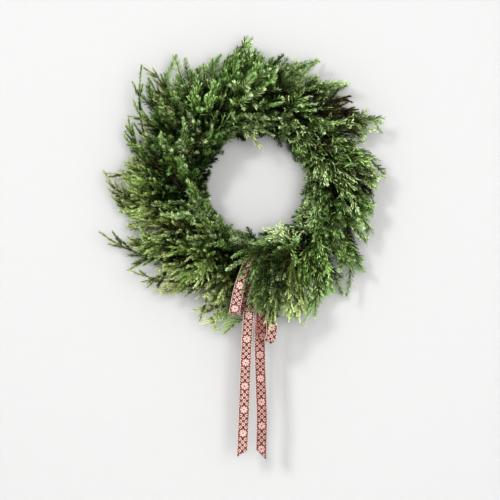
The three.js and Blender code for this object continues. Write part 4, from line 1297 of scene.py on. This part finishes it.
def ribbon_strip(pile, line, width, thick, cut, gather_ends, start, front, rng):
    """One flat length of ribbon along a line. cut: how far its left edge ends below the right."""
    along = lengths_along(line)
    length = along[-1]
    rows = max(12, int(length / RIBBON_ROW))
    across = np.linspace(-0.5, 0.5, RIBBON_COLUMNS)
    place = np.linspace(0, 1, rows)[:, None] * (length - cut * across[None])
    place = np.clip(place, 0, None)
    flat_place = place.ravel()
    inside = np.clip(flat_place, 0, length)
    centre = at_lengths(line, along, inside)
    tangents = unit(np.gradient(line, axis=0))
    tangent = unit(at_lengths(tangents, along, inside))
    centre = centre + tangent * (flat_place - inside)[:, None]
    sideways = square_to(np.array([1.0, 0.0, 0.0]), tangent)
    face = np.cross(tangent, sideways)
    spot = np.tile(across, rows)
    gather = np.ones(len(spot))
    if "start" in gather_ends:
        gather = np.minimum(gather, smooth_step(0, GATHER_LENGTH, inside))
    if "end" in gather_ends:
        gather = np.minimum(gather, smooth_step(0, GATHER_LENGTH, length - inside))
    held = lerp(GATHERED_WIDTH, 1.0, gather)
    pleat = PLEAT_DEPTH * (1 - gather) * np.cos(2 * math.pi * PLEATS * spot)
    phase = rng.random(3) * 6.28
    sway = SWAY[0] * np.sin(inside / SWAY[1] + phase[0])
    ripple = RIPPLE[0] * np.sin(inside / RIPPLE[1] + phase[1] + 3 * spot)
    wave = gather * (sway + ripple)
    curl = gather * CURL[0] * (2 * spot) ** 2 * np.sin(inside / CURL[1] + phase[2])
    tilt = gather * TILT[0] * spot * np.sin(inside / TILT[1] + phase[1])
    points = (centre + sideways * (spot * width * held)[:, None]
              + face * (pleat + wave + curl + tilt)[:, None])
    grid = points.reshape(rows, RIBBON_COLUMNS, 3)
    normal = unit(np.cross(np.gradient(grid, axis=0), np.gradient(grid, axis=1)))
    layers = np.concatenate([(grid + normal * thick / 2).reshape(-1, 3),
                             (grid - normal * thick / 2).reshape(-1, 3)])
    cloth = np.zeros((len(layers), CHANNELS))
    cloth[:, 0] = np.tile(spot * width, 2)
    cloth[:, 1] = np.tile(flat_place + start, 2)
    cloth[:len(points), 2] = front
    row = np.arange(rows - 1)[:, None] * RIBBON_COLUMNS
    column = np.arange(RIBBON_COLUMNS - 1)[None]
    quads = np.stack([row + column, row + RIBBON_COLUMNS + column, row + RIBBON_COLUMNS + column + 1,
                      row + column + 1], axis=-1).reshape(-1, 4)
    back = quads[:, ::-1] + len(points)
    rim = np.concatenate([np.arange(rows) * RIBBON_COLUMNS,
                          (rows - 1) * RIBBON_COLUMNS + np.arange(1, RIBBON_COLUMNS),
                          np.arange(rows - 2, -1, -1) * RIBBON_COLUMNS + RIBBON_COLUMNS - 1,
                          np.arange(RIBBON_COLUMNS - 2, 0, -1)])
    after = np.roll(rim, -1)
    edge = np.stack([rim, rim + len(points), after + len(points), after], axis=-1)
    pile.add(layers, cloth, [np.concatenate([quads, back, edge])], 0)
    return length


def knot_line():
    """The wrap round the middle of the bow."""
    turn = np.linspace(*KNOT_TURNS, len(ALONG)) * 2 * math.pi
    radius = KNOT_RADIUS - KNOT_RISE + KNOT_RISE * ALONG
    return KNOT + np.stack([0 * turn, -radius * np.cos(turn), -radius * np.sin(turn)], axis=-1)


def ribbon_group():
    """A block print in rows: rosettes, a lattice of diamonds between them, and dotted borders."""
    tree, nodes, given, made = shader_group("ribbon_print", INKS, (), "Height")
    across, along, front, _ = nodes.growth()
    placed, span = nodes.math, nodes.span
    cell = placed("MODULO", along + PRINT_REPEAT * 20, PRINT_REPEAT) - PRINT_REPEAT / 2
    radius = placed("SQRT", across * across + cell * cell)
    angle = placed("ARCTAN2", cell, across)
    petals = placed("COSINE", angle * PETALS)
    rim = petals + ROSETTE_RADIUS
    rosette = span(rim - radius, -0.3, 0.3)
    heart = span(HEART_RADIUS - radius, -0.3, 0.3)
    spokes = span(petals, -0.55, -0.85) * span(radius, 2.6, 3.4)
    beading = span(placed("COSINE", angle * (2 * PETALS)), -0.7, -0.2)
    arcs = span(abs(placed("SINE", angle)), 0.55, 0.8)
    halo = span(abs(radius - (rim + 1.7)), 2.0, 1.3) * beading * arcs
    rising, falling = (placed("COSINE", line * (2 * math.pi * LATTICE_CELLS / PRINT_REPEAT))
                       for line in (across + cell, across - cell))
    crest = placed("MAXIMUM", rising, falling)
    away = span(radius, 9.6, 10.4)
    dots = span(crest, 0.75, 0.5) * away
    seeds = span(crest, -0.35, -0.6) * away
    knots = span(placed("MINIMUM", rising, falling), -0.05, 0.25) * away
    band = abs(across)
    beads = placed("SINE", along * (2 * math.pi / BEAD_PITCH))
    border = span(abs(band - BORDER_PLACE), 1.4, 1.0) * span(beads, -0.2, 0.2)
    worn = nodes.noise(260.0, 3.0)
    fade = span(worn, 0.3, 0.7, 0.55, 0.9)
    colour = nodes.mix(span(worn, 0.35, 0.7), given["Ground"],
                       nodes.mix(0.15, given["Ground"], given["Pale"]))
    for share, ink in ((dots * fade, "Pale"), (placed("MAXIMUM", seeds, knots) * fade, "Dark"),
                       (halo * fade, "Dark"), (rosette * fade, "Pale"),
                       (spokes * rosette * 0.7, "Ground"), (heart * 0.8, "Dark"),
                       (border * fade, "Dark"), (span(band, 10.1, 10.35), "Edge")):
        colour = nodes.mix(share, colour, given[ink])
    shade = nodes.mix(0.45, given["Reverse"], colour)
    warp, weft = (placed("SINE", line * (2 * math.pi / THREAD)) for line in (across, along))
    weave = (warp * weft + 1.0) * 0.5
    nodes.fill(made, {"Color": nodes.hue(nodes.mix(front, shade, colour), 0.5, weave * 0.2 + 0.9),
                      "Height": weave})
    return tree


def ribbon_material(looks):
    material, nodes, shader = new_material("printed_ribbon")
    colours = (looks.ground, looks.pale, looks.dark, looks.edge, looks.reverse)
    cloth = nodes.add("Group", dict(zip(INKS, colours)), node_tree=ribbon_group())
    nodes.fill(shader, {"Base Color": cloth.outputs["Color"], "Roughness": 0.78, "Sheen Weight": 0.25,
                        "Specular IOR Level": 0.25,
                        "Normal": nodes.bump(cloth.outputs["Height"], 0.00025, 0.6)})
    return material


# ---- stage

WALL_GAP = 0.0004                                 # between the wall and what touches it, metres
WALL_HALF, WALL_TOP = 3.2, 2.2                    # metres
FLOOR_DROP, FLOOR_END = 1.5, -5.0                 # below the nail, and where it ends, metres
COVE = 0.5
AIM = (MIDDLE[0], -0.05, MIDDLE[2] - 0.08)        # of the lamps, metres
# Each lamp's place and size in metres, and its colour.
LAMPS = {
    "key_lamp": ((-3.1, -4.9, 2.1), 1.2, (1.0, 0.995, 0.985)),
    "fill_lamp": ((0.8, -3.9, -0.1), 2.2, (1, 1, 1)),
    "back_lamp": ((0.3, 2.2, 0.5), 1.5, (1, 1, 1)),
}
BACK_WATTS = 6.0
PHOTO_PIXELS = 500
PIXEL = 2.1                                       # millimetres of the wreath's plane in one pixel
HOLE_PIXEL = (255, 186)                           # where the wreath's middle stands in the photograph
PLANE_DEPTH = -0.05                               # metres: the plane that this scale holds in
CAMERA_DISTANCE = 3.0                             # metres
SENSOR = 36.0


def stage_mesh(wall):
    """A wall that rounds into a floor."""
    turn = np.linspace(0, math.pi / 2, 13)
    profile = [(wall, WALL_TOP)]
    profile += [(wall - COVE + COVE * math.cos(t), -FLOOR_DROP + COVE - COVE * math.sin(t)) for t in turn]
    profile += [(FLOOR_END, -FLOOR_DROP)]
    points = [(x, y, z) for y, z in profile for x in (-WALL_HALF, WALL_HALF)]
    faces = [(2 * i, 2 * i + 2, 2 * i + 3, 2 * i + 1) for i in range(len(profile) - 1)]
    mesh = bpy.data.meshes.new("studio_wall")
    mesh.from_pydata(points, [], faces)
    for face in mesh.polygons:
        face.use_smooth = True
    wall_piece = bpy.data.objects.new("studio_wall", mesh)
    bpy.context.scene.collection.objects.link(wall_piece)
    return wall_piece


def wall_material(colour):
    """Matt paint, clear from behind so that the back of the wreath can be seen."""
    material, nodes, shader = new_material("wall_paint")
    paint = nodes.mix(nodes.noise(60.0, 3.0), [0.985 * part for part in colour], colour)
    nodes.fill(shader, {"Base Color": paint, "Roughness": 0.9, "Specular IOR Level": 0.1})
    behind = nodes.add("NewGeometry").outputs["Backfacing"]
    shadow = nodes.add("LightPath").outputs["Is Shadow Ray"]
    clear = nodes.add("BsdfTransparent")
    choice = nodes.add("MixShader", {0: nodes.math("MAXIMUM", behind, shadow), 1: shader.outputs[0],
                                     2: clear.outputs[0]})
    output = next(n for n in material.node_tree.nodes if n.type == "OUTPUT_MATERIAL")
    nodes.fill(output, {"Surface": choice.outputs[0]})
    return material


def lamp(name, watts):
    place, size, colour = LAMPS[name]
    light = bpy.data.lights.new(name, "AREA")
    light.shape = "SQUARE"
    light.size = size
    light.energy = watts
    light.color = colour
    holder = bpy.data.objects.new(name, light)
    holder.location = place
    holder.rotation_mode = "QUATERNION"
    holder.rotation_quaternion = (Vector(AIM) - Vector(place)).to_track_quat("-Z", "Y")
    bpy.context.scene.collection.objects.link(holder)


def add_camera():
    """Straight on, framed as the photograph is."""
    camera = bpy.data.cameras.new("front_camera")
    camera.sensor_width = SENSOR
    camera.lens = SENSOR * CAMERA_DISTANCE / (PHOTO_PIXELS * PIXEL * MM)
    holder = bpy.data.objects.new("front_camera", camera)
    right = (PHOTO_PIXELS / 2 - HOLE_PIXEL[0]) * PIXEL * MM
    up = (HOLE_PIXEL[1] - PHOTO_PIXELS / 2) * PIXEL * MM
    holder.location = (MIDDLE[0] + right, PLANE_DEPTH - CAMERA_DISTANCE, MIDDLE[2] + up)
    holder.rotation_euler = (math.pi / 2, 0, 0)
    bpy.context.scene.collection.objects.link(holder)
    bpy.context.scene.camera = holder


# ---- what a user may change


def colour_property(name, description, default):
    return FloatVectorProperty(name=name, description=description, default=default, size=3,
                               min=0, max=1, subtype="COLOR")


def length_property(name, description, default):
    return FloatProperty(name=name, description=description, default=default, min=0.0001,
                         subtype="DISTANCE", unit="LENGTH", precision=4)


class WreathFoliageSettings(bpy.types.PropertyGroup):
    seed: IntProperty(name="Seed", description="Start of the random draws", default=7)
    fir_needle: length_property("Fir needle", "Length of a fir needle", 0.0155)
    fir_density: FloatProperty(name="Fir density", description="Fir needles on a millimetre of twig",
                               default=1.05, min=0.1)
    cedar_branchlet: length_property("Cedar branchlet", "Length of a cedar frond's branchlets", 0.0125)
    cedar_pitch: length_property("Cedar pitch", "From one branchlet to the next", 0.0043)
    juniper_scale: length_property("Juniper scale", "Length of a juniper scale", 0.0078)
    juniper_pitch: length_property("Juniper pitch", "From one scale to the next", 0.0007)
    # The deep colours are old leaves and painted shade; the young colours are new tips and painted light.
    fir_deep: colour_property("Fir deep", "Old needles", (0.006, 0.022, 0.002))
    fir_green: colour_property("Fir green", "Full grown needles", (0.25, 0.39, 0.125))
    fir_young: colour_property("Fir young", "Needles of the tips", (0.68, 0.79, 0.52))
    cedar_deep: colour_property("Cedar deep", "Old scales", (0.008, 0.028, 0.003))
    cedar_green: colour_property("Cedar green", "Full grown scales", (0.36, 0.53, 0.185))
    cedar_young: colour_property("Cedar young", "Scales of the tips", (0.7, 0.83, 0.55))
    juniper_deep: colour_property("Juniper deep", "Old scales", (0.009, 0.022, 0.002))
    juniper_green: colour_property("Juniper green", "Full grown scales", (0.33, 0.44, 0.15))
    juniper_young: colour_property("Juniper young", "Scales of the tips", (0.66, 0.75, 0.44))
    dry: colour_property("Dry", "Dried scales and needles", (0.16, 0.09, 0.035))
    # The dried deep colour is painted shade as well as the dark of the dried sprigs.
    dried_deep: colour_property("Dried deep", "Dark of the dried sprigs", (0.012, 0.008, 0.004))
    dried_brown: colour_property("Dried brown", "Brown of the dried sprigs", (0.13, 0.105, 0.05))
    bark_dark: colour_property("Bark dark", "Dark of the bark", (0.045, 0.028, 0.016))
    bark_light: colour_property("Bark light", "Light of the bark", (0.16, 0.1, 0.055))
    bark_green: colour_property("Bark green", "Soft bark near the tips", (0.09, 0.12, 0.04))


class WreathTrimSettings(bpy.types.PropertyGroup):
    width: length_property("Width", "Width of the ribbon", 0.022)
    thickness: length_property("Thickness", "Thickness of the ribbon", 0.00035)
    ground: colour_property("Ground", "Ground of the print", (0.25, 0.09, 0.075))
    pale: colour_property("Pale", "Pale figures of the print", (0.9, 0.7, 0.62))
    dark: colour_property("Dark", "Dark figures of the print", (0.05, 0.006, 0.006))
    edge: colour_property("Edge", "Selvage", (0.85, 0.68, 0.6))
    reverse: colour_property("Reverse", "Back of the ribbon", (0.13, 0.006, 0.008))
    wire_green: colour_property("Wire", "Enamel of the wires", (0.03, 0.075, 0.035))


class WreathStageSettings(bpy.types.PropertyGroup):
    wall: colour_property("Wall", "Wall and floor paint", (0.6, 0.6, 0.6))
    key: FloatProperty(name="Key light", description="Power of the main lamp, in watts", default=112.0)
    fill: FloatProperty(name="Fill light", description="Power of the fill lamp, in watts", default=66.0)
    sky: FloatProperty(name="Sky", description="Strength of the light from all round", default=0.47)


# ---- operators


class WREATH_OT_stage(bpy.types.Operator):
    """Make the wall, the lamps and the camera."""
    bl_idname = "wreath.stage"
    bl_label = "Wall, lamps and camera"

    def execute(self, context):
        looks = context.scene.wreath_stage
        add_camera()
        wall = stage_mesh(CAD_BOX[1].y + WALL_GAP)
        wall.data.materials.append(wall_material(looks.wall))
        lamp("key_lamp", looks.key)
        lamp("fill_lamp", looks.fill)
        lamp("back_lamp", BACK_WATTS)
        world = bpy.data.worlds.new("studio")
        context.scene.world = world
        world.use_nodes = True
        background = next(n for n in world.node_tree.nodes if n.type == "BACKGROUND")
        background.inputs["Color"].default_value = (1.0, 1.0, 1.0, 1.0)
        background.inputs["Strength"].default_value = looks.sky
        context.scene.view_settings.view_transform = "Standard"
        context.scene.view_settings.look = "High Contrast"
        return {"FINISHED"}


# Of each species' leaves: the shares of young and dry ones, and gloss.
LEAF_LOOKS = {"fir": ((0.65, 0.2), 0.1), "cedar": ((0.85, 0.3), 0.09), "juniper": ((0.85, 0.45), 0.08)}
DRIED_LOOK = ((0.5, 0.6), 0.08)


def leaf_materials(looks):
    """The leaf materials of the three species, the dried one and the bark, made once."""
    if "fir_leaf" not in bpy.data.materials:
        group = leaf_group()
        for kind, look in LEAF_LOOKS.items():
            colours = [getattr(looks, f"{kind}_{age}") for age in ("deep", "green", "young")]
            leaf_material(kind + "_leaf", group, (*colours, looks.dry), *look)
        leaf_material("dried_leaf", group, (looks.dried_deep, looks.dried_brown, looks.dry, looks.dry),
                      *DRIED_LOOK)
        bark_material(looks)
    return bpy.data.materials


def grow_kind(looks, kind):
    materials = leaf_materials(looks)
    for node in sorted(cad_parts):
        if node.startswith(kind + "_"):
            spray_piece(node, looks, [materials[kind + "_leaf"], materials["twig_bark"]])


class WREATH_OT_fir(bpy.types.Operator):
    """Grow the fir sprays."""
    bl_idname = "wreath.fir"
    bl_label = "Fir sprays"

    def execute(self, context):
        grow_kind(context.scene.wreath_foliage, "fir")
        return {"FINISHED"}


class WREATH_OT_cedar(bpy.types.Operator):
    """Grow the cedar sprays."""
    bl_idname = "wreath.cedar"
    bl_label = "Cedar sprays"

    def execute(self, context):
        grow_kind(context.scene.wreath_foliage, "cedar")
        return {"FINISHED"}


class WREATH_OT_juniper(bpy.types.Operator):
    """Grow the juniper sprays."""
    bl_idname = "wreath.juniper"
    bl_label = "Juniper sprays"

    def execute(self, context):
        grow_kind(context.scene.wreath_foliage, "juniper")
        return {"FINISHED"}


class WREATH_OT_sprigs(bpy.types.Operator):
    """Grow the loose sprigs: hanging strands, and those at the hole and the edge."""
    bl_idname = "wreath.sprigs"
    bl_label = "Loose sprigs"

    def execute(self, context):
        looks = context.scene.wreath_foliage
        materials = leaf_materials(looks)
        for name in SPRIGS:
            sprig_piece(name, looks, materials)
        for kind in EDGE_TIPS:
            edge_piece(kind, looks, materials)
        return {"FINISHED"}


class WREATH_OT_wires(bpy.types.Operator):
    """Make the crimped ring, the binding wire and the bow's wire."""
    bl_idname = "wreath.wires"
    bl_label = "Wires"

    def execute(self, context):
        enamel = enamel_material(context.scene.wreath_trim)
        wire_piece("crimped_ring", "wire_ring", [ring_line()], RING_WIRE / 2, 14, enamel)
        wire_piece("binding_turns", "binding_wire", [binding_line()], BINDING_WIRE / 2, 8, enamel)
        wire_piece("bow_tie_wire", "bow_wire", bow_wire_lines(), BOW_WIRE / 4, 6, enamel)
        return {"FINISHED"}


class WREATH_OT_ribbon(bpy.types.Operator):
    """Tie the ribbon bow."""
    bl_idname = "wreath.ribbon"
    bl_label = "Ribbon bow"

    def execute(self, context):
        looks = context.scene.wreath_trim
        rng = np.random.default_rng(RIBBON_SEED)
        width, thick = looks.width / MM, looks.thickness / MM
        pile = Pile()
        cut_length = 0.0
        for name, (points, cut, front) in RIBBON_ROUTES.items():
            ends = ("start",) if name.endswith("tail") else ("start", "end")
            cut_length += ribbon_strip(pile, route(points, 2.0), width, thick, cut, ends,
                                       cut_length, front, rng)
        cut_length += ribbon_strip(pile, knot_line(), width * KNOT_WIDTH, thick, 0, (),
                                   cut_length, 1.0, rng)
        ribbon = pile.piece("ribbon", [ribbon_material(looks)])
        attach(ribbon, "root")
        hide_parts("ribbon_bow")
        return {"FINISHED"}


class WREATH_PT_panel(bpy.types.Panel):
    bl_label = "Evergreen Wreath"
    bl_space_type = "VIEW_3D"
    bl_region_type = "UI"
    bl_category = "Wreath"

    def draw(self, context):
        for operator in OPERATORS:
            self.layout.operator(operator.bl_idname)
        for settings in (context.scene.wreath_foliage, context.scene.wreath_trim,
                         context.scene.wreath_stage):
            box = self.layout.box()
            for name in settings.__annotations__:
                box.prop(settings, name)


OPERATORS = (WREATH_OT_stage, WREATH_OT_wires, WREATH_OT_ribbon, WREATH_OT_fir, WREATH_OT_cedar,
             WREATH_OT_juniper, WREATH_OT_sprigs)
SETTINGS = {"wreath_foliage": WreathFoliageSettings, "wreath_trim": WreathTrimSettings,
            "wreath_stage": WreathStageSettings}
CLASSES = (*SETTINGS.values(), *OPERATORS, WREATH_PT_panel)


def register():
    for cls in CLASSES:
        bpy.utils.register_class(cls)
    for name, cls in SETTINGS.items():
        setattr(bpy.types.Scene, name, PointerProperty(type=cls))


def unregister():
    for name in SETTINGS:
        delattr(bpy.types.Scene, name)
    for cls in reversed(CLASSES):
        bpy.utils.unregister_class(cls)


def main():
    register()
    bpy.ops.wreath.stage()
    bpy.ops.wreath.wires()
    bpy.ops.wreath.ribbon()
    bpy.ops.wreath.fir()
    bpy.ops.wreath.cedar()
    bpy.ops.wreath.juniper()
    bpy.ops.wreath.sprigs()
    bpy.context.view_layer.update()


if __name__ == "__main__":
    main()
